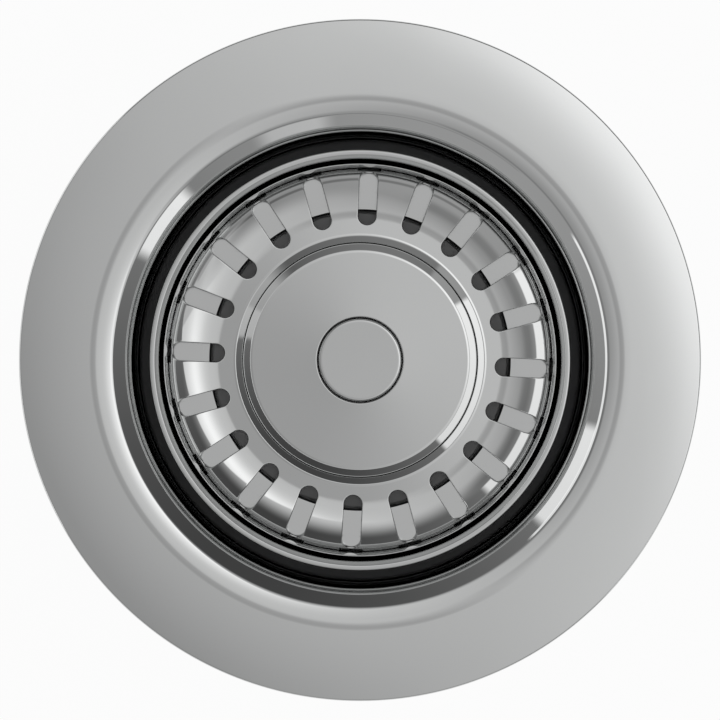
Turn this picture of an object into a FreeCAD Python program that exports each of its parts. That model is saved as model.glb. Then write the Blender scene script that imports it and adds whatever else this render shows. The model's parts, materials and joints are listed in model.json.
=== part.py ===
import FreeCAD, Part
import math
import os

# A push-button basket strainer for a kitchen sink, with its cup, outlet and clamping parts.
# Lengths are in millimetres and angles in degrees. +Z is up, Z is the strainer's axis,
# and z = 0 is the sink deck that the flange gasket lies on.

# Clearances
seat_gap = 0.3
rest_gap = 0.05
slide_gap = 0.1
free_gap = 0.5
overrun = 1.0

# Strainer body: flange, throat, ledge, well and floor pressed from one sheet
body_sheet = 0.8
flange_width = 17.4
flange_top_z = 4.0
flange_edge_z = 0.8
flange_edge_radius = 0.4
flange_fall_angle = 16.5
crest_fall_angle = 7.0
crest_radius = 8.0
crest_flat = 0.1
lip_angle = 17.5
lip_radius = 3.0
lip_flat = 0.1
chamfer_angle = 41.5
chamfer_flat = 0.66
throat_edge_radius = 0.3
throat_flare = 1.7
ledge_depth = 17.58
ledge_fillet = 1.0
ledge_bend = 1.2
well_fillet = 1.5

# Rubber flange gasket: its edges lie at shares of the width of the flange's dome
gasket_in_share = 0.02
gasket_out_share = 0.72

# Rubber ring on the ledge, which the basket sits on
seat_ring_width = 5.3
seat_ring_height = 2.4
seat_ring_rounding = 0.5
seat_ring_overhang = 1.6
seat_ring_slot_gap = 0.1

# Basket
basket_sheet = 0.7
basket_height = 17.4
floor_land = 2.85
dish_radius = 11.7
dish_angle = 40.0
dish_flat = 0.1
wall_bend = 2.0
wall_angle = 6.0
rim_bend = 1.0
rim_flat = 0.1
rim_fall_angle = 35.0
rim_edge = 0.2
slot_count = 20
slot_in_land = 1.8
slot_out_land = 0.45
slot_width = 3.1
slot_turn_angle = 87.2
recess_gap = 4.005
recess_wall_run = 0.15
recess_bevel = 1.13
recess_angle = 34.0
recess_edge = 0.5
recess_step_edge = 0.2
recess_fillet = 0.5

# Centre plate, which lies in the basket's recess with its dished edge in line with the recess's bevel
plate_sheet = 0.7
plate_gap = 0.15
plate_edge = 1.2
plate_rise = 0.25
plate_bend = 0.5
plate_hole_bend = 0.15
plate_collar_drop = 2.4

# Push button
button_gap = 0.2
button_top = 1.2
button_skirt = 1.15
button_length = 10.5
button_edge = 0.6
boss_wall = 1.2
boss_drop = 3.0

# Guide sleeve, clamped through the basket by its nut
sleeve_wall = 1.9
sleeve_flange_width = 5.7
sleeve_flange = 1.2
sleeve_floor = 2.4
sleeve_washer_width = 4.6
sleeve_washer_thick = 0.8
sleeve_nut_wall = 2.2
sleeve_nut_height = 4.0
nut_chamfer_angle = 30.0
nut_chamfer_share = 0.55

# Stem, its ring seal, and the ring that indexes it
stem_r = 3.0
ring_seal_section_r = 0.5
index_ring_width = 3.1
index_ring_thick = 2.4
index_lead = 54.0
index_groove_depth = 0.9
index_groove_width = 1.6
index_peg_r = 0.5
cap_thick = 1.5
cap_ledge = 1.8

# Return spring
spring_wire = 0.7
spring_gap = 0.5
spring_turns = 5
spring_arcs_per_turn = 4

# Plug
plug_lift = 8.0
carrier_inset = 0.4
carrier_disc = 2.2
carrier_cup_wall = 1.8
carrier_cup_floor = 2.0
carrier_lip = 2.0
carrier_lip_thick = 1.2
carrier_edge = 0.5
plug_seal_cover = 1.8
plug_seal_thick = 2.6
plug_seal_rounding = 0.8
plug_washer_r = 5.0
plug_washer_thick = 1.0
plug_screw_r = 1.5
plug_screw_length = 7.0
plug_screw_head_r = 2.8
plug_screw_head = 2.0
plug_screw_rounding = 0.5
plug_screw_slot = 0.8
plug_screw_slot_depth = 1.0

# Outlet spigot, with an inch and a half pipe thread, and its gasket
outlet_bore_r = 20.4
outlet_neck_wall = 1.5
outlet_lip = 1.7
outlet_lip_thick = 0.8
outlet_gasket_thick = 1.5
shoulder_width = 6.1
shoulder_thick = 2.5
thread_wall = 2.0
thread_height = 1.5
thread_pitch = 2.309
thread_root_width = 1.3
thread_crest_width = 0.5
thread_root_sink = 0.2
outlet_end = 4.0
outlet_end_wall = 1.6
outlet_chamfer = 0.6

# Clamping parts below the deck
deck_thick = 6.0
clamp_up = 5.0
clamp_down = 6.0
washer_thick = 3.0
friction_ring_thick = 1.0
washer_rounding = 0.6
cup_sheet = 0.9
cup_rim_inset = 2.5
cup_wall_gap = 3.4
cup_wall_angle = 4.0
cup_rim_bend = 2.0
cup_fillet = 6.0
cup_hole_gap = 0.7
back_nut_wall = 5.1
back_nut_height = 9.0
back_nut_collar_width = 5.6
back_nut_collar = 2.0
thread_gap = 0.4


# Outlines: points are radius and height in the XZ plane
def at(radius, height):
    return FreeCAD.Vector(radius, 0, height)


def polar(radius, turn, height):
    return FreeCAD.Vector(radius * math.cos(turn), radius * math.sin(turn), height)


def tangent(angle):
    return math.tan(math.radians(angle))


def cosine(angle):
    return math.cos(math.radians(angle))


def sine(angle):
    return math.sin(math.radians(angle))


def corner_arc(before, corner, after, radius):
    """The first, middle and last point of the arc that rounds a corner."""
    back = (before - corner).normalize()
    ahead = (after - corner).normalize()
    half = back.getAngle(ahead) / 2
    reach = radius / math.tan(half)
    bisector = (back + ahead).normalize()
    middle = corner + bisector * (radius / math.sin(half) - radius)
    return corner + back * reach, middle, corner + ahead * reach


def outline(points, radii, closed):
    """Straight runs from point to point, with each corner rounded by its radius."""
    count = len(points)
    stops = []
    for i, radius in enumerate(radii):
        is_end = not closed and i in (0, count - 1)
        if is_end or radius <= 0:
            stops.append((points[i],))
        else:
            stops.append(corner_arc(points[i - 1], points[i], points[(i + 1) % count], radius))
    edges = []
    for i, stop in enumerate(stops):
        if len(stop) > 1:
            edges.append(Part.Arc(*stop).toShape())
        if closed or i < count - 1:
            edges.append(Part.makeLine(stop[-1], stops[(i + 1) % count][0]))
    return edges


def spin(edges):
    face = Part.Face(Part.Wire(Part.__sortEdges__(edges)))
    return face.revolve(FreeCAD.Vector(), FreeCAD.Vector(0, 0, 1), 360)


def turned(points, radii=None):
    """A solid turned about Z from a closed outline."""
    return spin(outline(points, radii or [0] * len(points), True))


def ring(in_r, out_r, low, high, rounding=0):
    corners = [at(in_r, low), at(out_r, low), at(out_r, high), at(in_r, high)]
    return turned(corners, [rounding] * len(corners))


def left_offset(points, distance):
    """The points of the same path, moved to its left by a distance."""
    runs = [(b - a).normalize() for a, b in zip(points, points[1:])]
    lefts = [at(-run.z, run.x) for run in runs]
    moved = [points[0] + lefts[0] * distance]
    for point, first, second in zip(points[1:], lefts, lefts[1:]):
        moved.append(point + (first + second) * (distance / (1 + first.dot(second))))
    moved.append(points[-1] + lefts[-1] * distance)
    return moved


def pressed(points, radii, sheet):
    """A pressed sheet: the points follow its visible face, inwards, and the sheet lies to their left."""
    back_radii = []
    for i, radius in enumerate(radii):
        if i in (0, len(radii) - 1):
            back_radii.append(0)
            continue
        before = points[i] - points[i - 1]
        after = points[i + 1] - points[i]
        turns_left = before.x * after.z - before.z * after.x > 0
        back_radii.append(max(radius - sheet, 0) if turns_left else radius + sheet)
    back = left_offset(points, sheet)
    edges = outline(points, radii, False) + outline(back, back_radii, False)
    edges.append(Part.makeLine(points[0], back[0]))
    edges.append(Part.makeLine(points[-1], back[-1]))
    return spin(edges)


def thread_ridge(root_r, crest_r, low, high):
    """A right-hand thread ridge of trapezoid section, from its root to its crest."""
    helix = Part.makeHelix(thread_pitch, high - low, root_r)
    helix.translate(FreeCAD.Vector(0, 0, low))
    section = [
        at(root_r, low - thread_root_width / 2),
        at(crest_r, low - thread_crest_width / 2),
        at(crest_r, low + thread_crest_width / 2),
        at(root_r, low + thread_root_width / 2),
    ]
    return helix.makePipeShell([Part.makePolygon(section + section[:1])], True, True)


def hexagon(flats, low, high):
    """A hexagon bar with its corners chamfered at both ends."""
    corner_r = flats / 2 / cosine(30)
    corners = [polar(corner_r, math.radians(60 * i), low) for i in range(6)]
    bar = Part.Face(Part.makePolygon(corners + corners[:1])).extrude(FreeCAD.Vector(0, 0, high - low))
    chamfer = (corner_r - flats / 2) * nut_chamfer_share
    slope = chamfer * tangent(nut_chamfer_angle)
    envelope = turned(
        [
            at(0, low),
            at(corner_r - chamfer, low),
            at(corner_r, low + slope),
            at(corner_r, high - slope),
            at(corner_r - chamfer, high),
            at(0, high),
        ]
    )
    return bar.common(envelope)


def biarc(start, start_run, end, end_run):
    """Two arcs that leave one point and reach another in the given directions."""
    chord = end - start
    runs = start_run + end_run
    spread = 2 * (1 - start_run.dot(end_run))
    along = chord.dot(runs)
    reach = (math.sqrt(along**2 + spread * chord.dot(chord)) - along) / spread
    first_control = start + start_run * reach
    second_control = end - end_run * reach
    joint = (first_control + second_control) / 2
    arcs = []
    for a, control, b in ((start, first_control, joint), (joint, second_control, end)):
        half_cosine = math.cos((control - a).getAngle(b - a))
        middle = (a + b) / 2
        top = middle + (control - middle) * (half_cosine / (1 + half_cosine))
        arcs.append(Part.Arc(a, top, b).toShape())
    return arcs


# Radii that follow from the sizes above, from the stem outwards
stem_hole_r = stem_r + slide_gap
ring_seal_r = stem_hole_r + ring_seal_section_r
ring_groove_r = ring_seal_r + ring_seal_section_r + rest_gap
pocket_r = stem_hole_r + index_ring_width
cap_r = pocket_r + cap_ledge
boss_r = stem_r + boss_wall
spring_r = boss_r + spring_gap + spring_wire / 2
skirt_in_r = spring_r + spring_wire / 2 + spring_gap
button_r = skirt_in_r + button_skirt
plate_hole_r = button_r + button_gap
plate_stack = plate_sheet + rest_gap
collar_r = plate_hole_r + plate_stack
sleeve_bore_r = plate_hole_r + rest_gap
sleeve_out_r = collar_r + sleeve_wall
sleeve_hole_r = sleeve_out_r + slide_gap
sleeve_flange_r = sleeve_out_r + sleeve_flange_width
recess_floor_r = sleeve_flange_r + recess_gap
recess_step_r = recess_floor_r + recess_wall_run
recess_r = recess_step_r + recess_bevel
plate_r = recess_step_r - plate_gap
plate_disc_r = plate_r - plate_edge

dish_reach = dish_radius * tangent(dish_angle / 2)
dish_corner_r = recess_r + floor_land + dish_reach
wall_turn_angle = 90 - wall_angle - dish_angle
dish_run = dish_reach + dish_flat + wall_bend * tangent(wall_turn_angle / 2)
wall_foot_r = dish_corner_r + dish_run * cosine(dish_angle)
wall_foot_rise = dish_run * sine(dish_angle)
basket_rim_r = wall_foot_r + (basket_height - wall_foot_rise) * tangent(wall_angle)
slot_in_r = recess_r + slot_in_land
slot_out_r = wall_foot_r - slot_out_land

seat_ring_in_r = slot_out_r + seat_ring_slot_gap
seat_ring_out_r = seat_ring_in_r + seat_ring_width
well_r = seat_ring_in_r + seat_ring_overhang
throat_foot_r = seat_ring_out_r + ledge_fillet
throat_r = throat_foot_r + throat_flare
flange_r = throat_r + flange_width

# The flange's runs, from the throat up its chamfer and lip, over its crest and down its dome
lip_reach = lip_radius * tangent((chamfer_angle - lip_angle) / 2)
crest_reach = crest_radius * tangent((lip_angle + crest_fall_angle) / 2)
chamfer_run = throat_edge_radius * tangent(45 - chamfer_angle / 2) + chamfer_flat + lip_reach
crest_run = lip_reach + lip_flat + crest_reach
crest_fall_run = crest_reach + crest_flat
flange_lip_r = throat_r + chamfer_run * cosine(chamfer_angle)
crest_r = flange_lip_r + crest_run * cosine(lip_angle)
dome_start_r = crest_r + crest_fall_run * cosine(crest_fall_angle)
dome_width = flange_r - flange_edge_radius - dome_start_r
dome_radius = dome_width / (sine(flange_fall_angle) - sine(crest_fall_angle))
dome_reach = dome_radius * tangent((flange_fall_angle - crest_fall_angle) / 2)
dome_r = dome_start_r + dome_reach * cosine(crest_fall_angle)
gasket_in_r = dome_start_r + gasket_in_share * dome_width
gasket_out_r = dome_start_r + gasket_out_share * dome_width

outlet_neck_r = outlet_bore_r + outlet_neck_wall
outlet_hole_r = outlet_neck_r + slide_gap
outlet_lip_r = outlet_neck_r + outlet_lip
outlet_end_r = outlet_bore_r + outlet_end_wall
shoulder_r = outlet_neck_r + shoulder_width
thread_core_r = outlet_bore_r + thread_wall
thread_crest_r = thread_core_r + thread_height
plug_seal_r = outlet_lip_r + plug_seal_cover
carrier_r = plug_seal_r - carrier_inset
carrier_cup_in_r = sleeve_out_r + seat_gap
carrier_cup_r = carrier_cup_in_r + carrier_cup_wall

cup_rim_r = flange_r - cup_rim_inset
cup_wall_r = throat_r + cup_wall_gap
cup_hole_r = thread_crest_r + cup_hole_gap
washer_in_r = cup_wall_r + cup_rim_bend + free_gap
washer_out_r = cup_rim_r - free_gap

# Heights, from the flange down
crest_z = flange_top_z + crest_reach * sine(crest_fall_angle) - crest_radius * (1 - cosine(crest_fall_angle))
lip_z = crest_z - crest_run * sine(lip_angle)
throat_z = lip_z - chamfer_run * sine(chamfer_angle)
dome_start_z = crest_z - crest_fall_run * sine(crest_fall_angle)
dome_z = dome_start_z - dome_reach * sine(crest_fall_angle)
dome_edge_z = dome_z - (flange_r - dome_r) * tangent(flange_fall_angle)
ledge_z = -ledge_depth
seat_ring_top_z = ledge_z + seat_ring_height

# The ring's rounded edge touches the dish's straight run, and the gap is measured square to it
seat_relief = seat_ring_rounding * (sine(dish_angle) + cosine(dish_angle) - 1)
seat_drop = (basket_sheet + seat_gap - seat_relief) / cosine(dish_angle)
seat_rise = (seat_ring_in_r - dish_corner_r) * tangent(dish_angle) - seat_drop
basket_floor_z = seat_ring_top_z - seat_rise
basket_rim_z = basket_floor_z + basket_height
recess_step_z = basket_floor_z - recess_bevel * tangent(recess_angle)
plate_edge_z = basket_floor_z - (recess_r - plate_r) * tangent(recess_angle)
plate_disc_z = basket_floor_z - (recess_r - plate_disc_r) * tangent(recess_angle)
plate_top_z = plate_disc_z + plate_rise
plate_collar_z = plate_top_z - plate_collar_drop
sleeve_top_z = plate_disc_z - plate_stack
recess_z = sleeve_top_z - sleeve_flange

button_top_z = plate_top_z
button_bottom_z = button_top_z - button_length
stem_top_z = button_top_z - button_top
sleeve_floor_z = button_bottom_z - free_gap
pocket_top_z = sleeve_floor_z - sleeve_floor
cap_top_z = pocket_top_z - index_ring_thick - 2 * slide_gap
sleeve_bottom_z = cap_top_z - cap_thick
ring_seal_z = sleeve_floor_z - sleeve_floor / 2
ring_groove_half = ring_seal_section_r + rest_gap
peg_z = (pocket_top_z + cap_top_z) / 2
sleeve_washer_z = recess_z - basket_sheet - sleeve_washer_thick
sleeve_nut_z = sleeve_washer_z - sleeve_nut_height
spring_low_z = sleeve_floor_z + spring_wire / 2 + rest_gap
spring_high_z = stem_top_z - spring_wire / 2 - rest_gap

carrier_top_z = sleeve_nut_z - free_gap - plug_lift
carrier_disc_z = carrier_top_z - carrier_disc
plug_seal_z = carrier_disc_z - plug_seal_thick
carrier_floor_z = sleeve_bottom_z - seat_gap - plug_lift
carrier_bottom_z = carrier_floor_z - carrier_cup_floor
plug_washer_z = carrier_bottom_z - plug_washer_thick

floor_z = plug_seal_z - seat_gap - outlet_lip_thick
outlet_gasket_z = floor_z - body_sheet - outlet_gasket_thick
shoulder_z = outlet_gasket_z - shoulder_thick
cup_rim_z = -deck_thick - washer_thick - friction_ring_thick
cup_floor_z = shoulder_z - free_gap - clamp_up
back_nut_top_z = cup_floor_z - cup_sheet
back_nut_z = back_nut_top_z - back_nut_height
thread_low_z = back_nut_z - clamp_down
outlet_z = thread_low_z - outlet_end
spigot_ridge_z = thread_low_z + thread_root_width / 2


# Strainer body and what stays with it
def make_strainer_body():
    points = [
        at(flange_r, flange_edge_z),
        at(flange_r, dome_edge_z),
        at(dome_r, dome_z),
        at(crest_r, crest_z),
        at(flange_lip_r, lip_z),
        at(throat_r, throat_z),
        at(throat_foot_r, ledge_z),
        at(well_r, ledge_z),
        at(well_r, floor_z),
        at(outlet_hole_r, floor_z),
    ]
    radii = [0, flange_edge_radius, dome_radius, crest_radius, lip_radius, throat_edge_radius]
    radii += [ledge_fillet, ledge_bend, well_fillet, 0]
    return pressed(points, radii, body_sheet)


def flange_underside(radius):
    """Height of the flange's lower face under its dome."""
    centre_r = dome_start_r - dome_radius * sine(crest_fall_angle)
    centre_z = dome_start_z - dome_radius * cosine(crest_fall_angle)
    return centre_z + math.sqrt((dome_radius - body_sheet) ** 2 - (radius - centre_r) ** 2)


def make_flange_gasket():
    return turned(
        [
            at(gasket_in_r, 0),
            at(gasket_out_r, 0),
            at(gasket_out_r, flange_underside(gasket_out_r) - rest_gap),
            at(gasket_in_r, flange_underside(gasket_in_r) - rest_gap),
        ]
    )


def make_basket_seat_ring():
    return ring(seat_ring_in_r, seat_ring_out_r, ledge_z, seat_ring_top_z, seat_ring_rounding)


def make_outlet_gasket():
    return ring(outlet_hole_r, shoulder_r, outlet_gasket_z, floor_z - body_sheet)


def make_outlet_spigot():
    body = turned(
        [
            at(outlet_bore_r, outlet_z),
            at(outlet_end_r - outlet_chamfer, outlet_z),
            at(outlet_end_r, outlet_z + outlet_chamfer),
            at(outlet_end_r, thread_low_z),
            at(thread_core_r, thread_low_z),
            at(thread_core_r, shoulder_z),
            at(shoulder_r, shoulder_z),
            at(shoulder_r, outlet_gasket_z),
            at(outlet_neck_r, outlet_gasket_z),
            at(outlet_neck_r, floor_z),
            at(outlet_lip_r, floor_z),
            at(outlet_lip_r, floor_z + outlet_lip_thick),
            at(outlet_bore_r, floor_z + outlet_lip_thick),
        ]
    )
    root_r = thread_core_r - thread_root_sink
    last_z = shoulder_z - thread_root_width / 2
    return body.fuse(thread_ridge(root_r, thread_crest_r, spigot_ridge_z, last_z))


# Clamping parts
def make_clamp_washer():
    return ring(washer_in_r, washer_out_r, cup_rim_z + friction_ring_thick, -deck_thick, washer_rounding)


def make_friction_ring():
    return ring(washer_in_r, washer_out_r, cup_rim_z, cup_rim_z + friction_ring_thick)


def make_outer_cup():
    foot_r = cup_wall_r - (cup_rim_z - cup_floor_z) * tangent(cup_wall_angle)
    points = [
        at(cup_rim_r, cup_rim_z),
        at(cup_wall_r, cup_rim_z),
        at(foot_r, cup_floor_z),
        at(cup_hole_r, cup_floor_z),
    ]
    return pressed(points, [0, cup_rim_bend, cup_fillet, 0], cup_sheet)


def make_back_nut():
    collar_z = back_nut_top_z - back_nut_collar
    bore_r = thread_crest_r + thread_gap
    collar_out_r = thread_crest_r + back_nut_collar_width
    body = hexagon(2 * (thread_crest_r + back_nut_wall), back_nut_z, collar_z)
    body = body.fuse(ring(0, collar_out_r, collar_z, back_nut_top_z))
    body = body.cut(ring(0, bore_r, back_nut_z - overrun, back_nut_top_z + overrun))
    # The nut's ridge runs half a pitch above a turn of the spigot's ridge
    lowest_z = back_nut_z + thread_root_width / 2
    turns_up = math.ceil((lowest_z - spigot_ridge_z) / thread_pitch - 0.5) + 0.5
    first_z = spigot_ridge_z + turns_up * thread_pitch
    last_z = back_nut_top_z - thread_root_width / 2
    crest_r = thread_core_r + thread_gap
    return body.fuse(thread_ridge(bore_r + thread_root_sink, crest_r, first_z, last_z))


# Basket and what stays in it
def make_slot():
    """A slot's cutting tool: a bar with round ends, along X."""
    half = slot_width / 2
    inner = slot_in_r + half
    outer = slot_out_r - half
    low = recess_z - overrun
    left = [FreeCAD.Vector(r, half, low) for r in (inner, outer)]
    right = [FreeCAD.Vector(r, -half, low) for r in (inner, outer)]
    edges = [
        Part.makeLine(left[0], left[1]),
        Part.Arc(left[1], FreeCAD.Vector(slot_out_r, 0, low), right[1]).toShape(),
        Part.makeLine(right[1], right[0]),
        Part.Arc(right[0], FreeCAD.Vector(slot_in_r, 0, low), left[0]).toShape(),
    ]
    return Part.Face(Part.Wire(edges)).extrude(FreeCAD.Vector(0, 0, basket_rim_z - low))


def make_basket():
    fall_reach = rim_bend * tangent(rim_fall_angle / 2)
    crown = rim_bend * tangent(45 - wall_angle / 2) + rim_flat + fall_reach
    fall = fall_reach + rim_edge
    crown_end = at(basket_rim_r + crown, basket_rim_z)
    points = [
        crown_end + at(fall * cosine(rim_fall_angle), -fall * sine(rim_fall_angle)),
        crown_end,
        at(basket_rim_r, basket_rim_z),
        at(wall_foot_r, basket_floor_z + wall_foot_rise),
        at(dish_corner_r, basket_floor_z),
        at(recess_r, basket_floor_z),
        at(recess_step_r, recess_step_z),
        at(recess_floor_r, recess_z),
        at(sleeve_hole_r, recess_z),
    ]
    radii = [0, rim_bend, rim_bend, wall_bend, dish_radius, recess_edge, recess_step_edge, recess_fillet, 0]
    bowl = pressed(points, radii, basket_sheet)
    slots = []
    for i in range(slot_count):
        slot = make_slot()
        slot.rotate(FreeCAD.Vector(), FreeCAD.Vector(0, 0, 1), slot_turn_angle + 360 * i / slot_count)
        slots.append(slot)
    return bowl.cut(slots)


def make_centre_plate():
    """A dished sheet, trimmed upright to clear the recess's wall."""
    trim = plate_sheet
    points = [
        at(plate_r + trim, plate_edge_z + trim * tangent(recess_angle)),
        at(plate_disc_r, plate_disc_z),
        at(plate_hole_r, plate_top_z),
        at(plate_hole_r, plate_collar_z),
    ]
    sheet = pressed(points, [0, plate_bend, plate_hole_bend, 0], plate_sheet)
    return sheet.common(ring(0, plate_r, plate_collar_z - overrun, basket_floor_z + overrun))


def make_guide_sleeve():
    return turned(
        [
            at(collar_r, sleeve_top_z),
            at(sleeve_flange_r, sleeve_top_z),
            at(sleeve_flange_r, recess_z),
            at(sleeve_out_r, recess_z),
            at(sleeve_out_r, sleeve_bottom_z),
            at(cap_r + rest_gap, sleeve_bottom_z),
            at(cap_r + rest_gap, cap_top_z),
            at(pocket_r, cap_top_z),
            at(pocket_r, pocket_top_z),
            at(stem_hole_r, pocket_top_z),
            at(stem_hole_r, ring_seal_z - ring_groove_half),
            at(ring_groove_r, ring_seal_z - ring_groove_half),
            at(ring_groove_r, ring_seal_z + ring_groove_half),
            at(stem_hole_r, ring_seal_z + ring_groove_half),
            at(stem_hole_r, sleeve_floor_z),
            at(sleeve_bore_r, sleeve_floor_z),
            at(sleeve_bore_r, plate_collar_z - rest_gap),
            at(collar_r, plate_collar_z - rest_gap),
        ]
    )


def make_sleeve_washer():
    washer_r = sleeve_hole_r + sleeve_washer_width
    return ring(sleeve_hole_r, washer_r, sleeve_washer_z, recess_z - basket_sheet)


def make_sleeve_nut():
    bar = hexagon(2 * (sleeve_out_r + sleeve_nut_wall), sleeve_nut_z, sleeve_washer_z)
    return bar.cut(ring(0, sleeve_out_r + rest_gap, sleeve_nut_z - overrun, sleeve_washer_z + overrun))


def make_stem_ring_seal():
    seal = Part.makeTorus(ring_seal_r, ring_seal_section_r)
    seal.translate(FreeCAD.Vector(0, 0, ring_seal_z))
    return seal


def make_index_ring():
    body = ring(stem_hole_r, pocket_r - slide_gap, cap_top_z + slide_gap, pocket_top_z - slide_gap)
    peg_end_r = stem_r - index_groove_depth + slide_gap
    peg_root_r = (stem_hole_r + pocket_r) / 2
    for side in (1, -1):
        foot = FreeCAD.Vector(side * peg_end_r, 0, peg_z)
        peg = Part.makeCylinder(index_peg_r, peg_root_r - peg_end_r, foot, FreeCAD.Vector(side, 0, 0))
        body = body.fuse(peg)
    return body.removeSplitter()


def make_guide_cap():
    return ring(stem_hole_r, cap_r, sleeve_bottom_z, cap_top_z)


# Button, stem and plug
def make_push_button():
    socket_r = stem_r + rest_gap
    points = [
        at(0, button_top_z),
        at(button_r, button_top_z),
        at(button_r, button_bottom_z),
        at(skirt_in_r, button_bottom_z),
        at(skirt_in_r, stem_top_z),
        at(boss_r, stem_top_z),
        at(boss_r, stem_top_z - boss_drop),
        at(socket_r, stem_top_z - boss_drop),
        at(socket_r, stem_top_z),
        at(0, stem_top_z),
    ]
    radii = [0] * len(points)
    radii[1] = button_edge
    return turned(points, radii)


def spring_point(turn):
    rise = (spring_high_z - spring_low_z) * turn / spring_turns
    return polar(spring_r, 2 * math.pi * turn, spring_low_z + rise)


def spring_run(turn):
    """Direction of the spring's wire at a turn."""
    climb = (spring_high_z - spring_low_z) / spring_turns / (2 * math.pi)
    around = polar(spring_r, 2 * math.pi * turn + math.pi / 2, climb)
    return around.normalize()


def make_return_spring():
    marks = [i / spring_arcs_per_turn for i in range(spring_turns * spring_arcs_per_turn + 1)]
    edges = []
    for a, b in zip(marks, marks[1:]):
        edges += biarc(spring_point(a), spring_run(a), spring_point(b), spring_run(b))
    section = Part.Wire(Part.makeCircle(spring_wire / 2, spring_point(0), spring_run(0)))
    return Part.Wire(edges).makePipeShell([section], True, False)


def spring_self_gap():
    """Least distance between neighbouring turns of the spring's wire, measured on points."""
    steps_per_turn = 24
    points = [spring_point(i / steps_per_turn) for i in range(spring_turns * steps_per_turn + 1)]
    apart = [
        (a - b).Length
        for i, a in enumerate(points)
        for b in points[i + steps_per_turn // 2 :]
    ]
    return min(apart) - spring_wire


def make_stem():
    hole_r = plug_screw_r + rest_gap
    hole_top_z = plug_washer_z + plug_screw_length + rest_gap
    body = ring(0, stem_r, carrier_floor_z, stem_top_z)
    body = body.cut(ring(0, hole_r, carrier_floor_z - overrun, hole_top_z))
    low = peg_z - plug_lift - index_peg_r - free_gap
    high = peg_z + index_peg_r + free_gap
    floor_r = stem_r - index_groove_depth
    half = index_groove_width / 2
    helix = Part.makeHelix(index_lead, high - low, stem_r)
    section = Part.makePolygon(
        [
            FreeCAD.Vector(floor_r, -half, 0),
            FreeCAD.Vector(stem_r + overrun, -half, 0),
            FreeCAD.Vector(stem_r + overrun, half, 0),
            FreeCAD.Vector(floor_r, half, 0),
            FreeCAD.Vector(floor_r, -half, 0),
        ]
    )
    groove = helix.makePipeShell([section], True, True)
    groove.translate(FreeCAD.Vector(0, 0, low))
    start_angle = 360 * (low - peg_z) / index_lead
    for side_angle in (0, 180):
        cutter = groove.copy()
        cutter.rotate(FreeCAD.Vector(), FreeCAD.Vector(0, 0, 1), start_angle + side_angle)
        body = body.cut(cutter)
    return body


def make_plug_carrier():
    lip_r = carrier_cup_r + carrier_lip
    lip_z = plug_seal_z - carrier_lip_thick
    hole_r = plug_screw_r + slide_gap
    points = [
        at(carrier_cup_in_r, carrier_top_z),
        at(carrier_r, carrier_top_z),
        at(carrier_r, carrier_disc_z),
        at(carrier_cup_r, carrier_disc_z),
        at(carrier_cup_r, plug_seal_z),
        at(lip_r, plug_seal_z),
        at(lip_r, lip_z),
        at(carrier_cup_r, lip_z),
        at(carrier_cup_r, carrier_bottom_z),
        at(hole_r, carrier_bottom_z),
        at(hole_r, carrier_floor_z),
        at(carrier_cup_in_r, carrier_floor_z),
    ]
    radii = [0] * len(points)
    radii[1] = carrier_edge
    radii[8] = carrier_edge
    return turned(points, radii)


def make_plug_seal():
    in_r = carrier_cup_r + rest_gap
    corners = [
        at(in_r, plug_seal_z),
        at(plug_seal_r, plug_seal_z),
        at(plug_seal_r, carrier_disc_z),
        at(in_r, carrier_disc_z),
    ]
    return turned(corners, [0, plug_seal_rounding, plug_seal_rounding, 0])


def make_plug_washer():
    return ring(plug_screw_r + slide_gap, plug_washer_r, plug_washer_z, carrier_bottom_z)


def make_plug_screw():
    head_z = plug_washer_z - plug_screw_head
    body = turned(
        [
            at(0, head_z),
            at(plug_screw_head_r, head_z),
            at(plug_screw_head_r, plug_washer_z),
            at(plug_screw_r, plug_washer_z),
            at(plug_screw_r, plug_washer_z + plug_screw_length),
            at(0, plug_washer_z + plug_screw_length),
        ],
        [0, plug_screw_rounding, 0, 0, 0, 0],
    )
    reach = plug_screw_head_r + overrun
    slot_corner = FreeCAD.Vector(-reach, -plug_screw_slot / 2, head_z - overrun)
    slot = Part.makeBox(2 * reach, plug_screw_slot, overrun + plug_screw_slot_depth, slot_corner)
    return body.cut(slot)


pieces = {
    "strainer_body": make_strainer_body,
    "flange_gasket": make_flange_gasket,
    "basket_seat_ring": make_basket_seat_ring,
    "outlet_gasket": make_outlet_gasket,
    "outlet_spigot": make_outlet_spigot,
    "clamp_washer": make_clamp_washer,
    "friction_ring": make_friction_ring,
    "outer_cup": make_outer_cup,
    "back_nut": make_back_nut,
    "basket": make_basket,
    "centre_plate": make_centre_plate,
    "guide_sleeve": make_guide_sleeve,
    "sleeve_washer": make_sleeve_washer,
    "sleeve_nut": make_sleeve_nut,
    "stem_ring_seal": make_stem_ring_seal,
    "index_ring": make_index_ring,
    "guide_cap": make_guide_cap,
    "push_button": make_push_button,
    "return_spring": make_return_spring,
    "stem": make_stem,
    "plug_carrier": make_plug_carrier,
    "plug_seal": make_plug_seal,
    "plug_washer": make_plug_washer,
    "plug_screw": make_plug_screw,
}

os.makedirs("parts", exist_ok=True)
for name, make in pieces.items():
    make().exportStep(f"parts/{name}.step")
print("least gap between the spring's turns:", round(spring_self_gap(), 3))
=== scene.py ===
import json
import math

import bmesh
import bpy
from mathutils import Matrix, Vector


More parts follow.
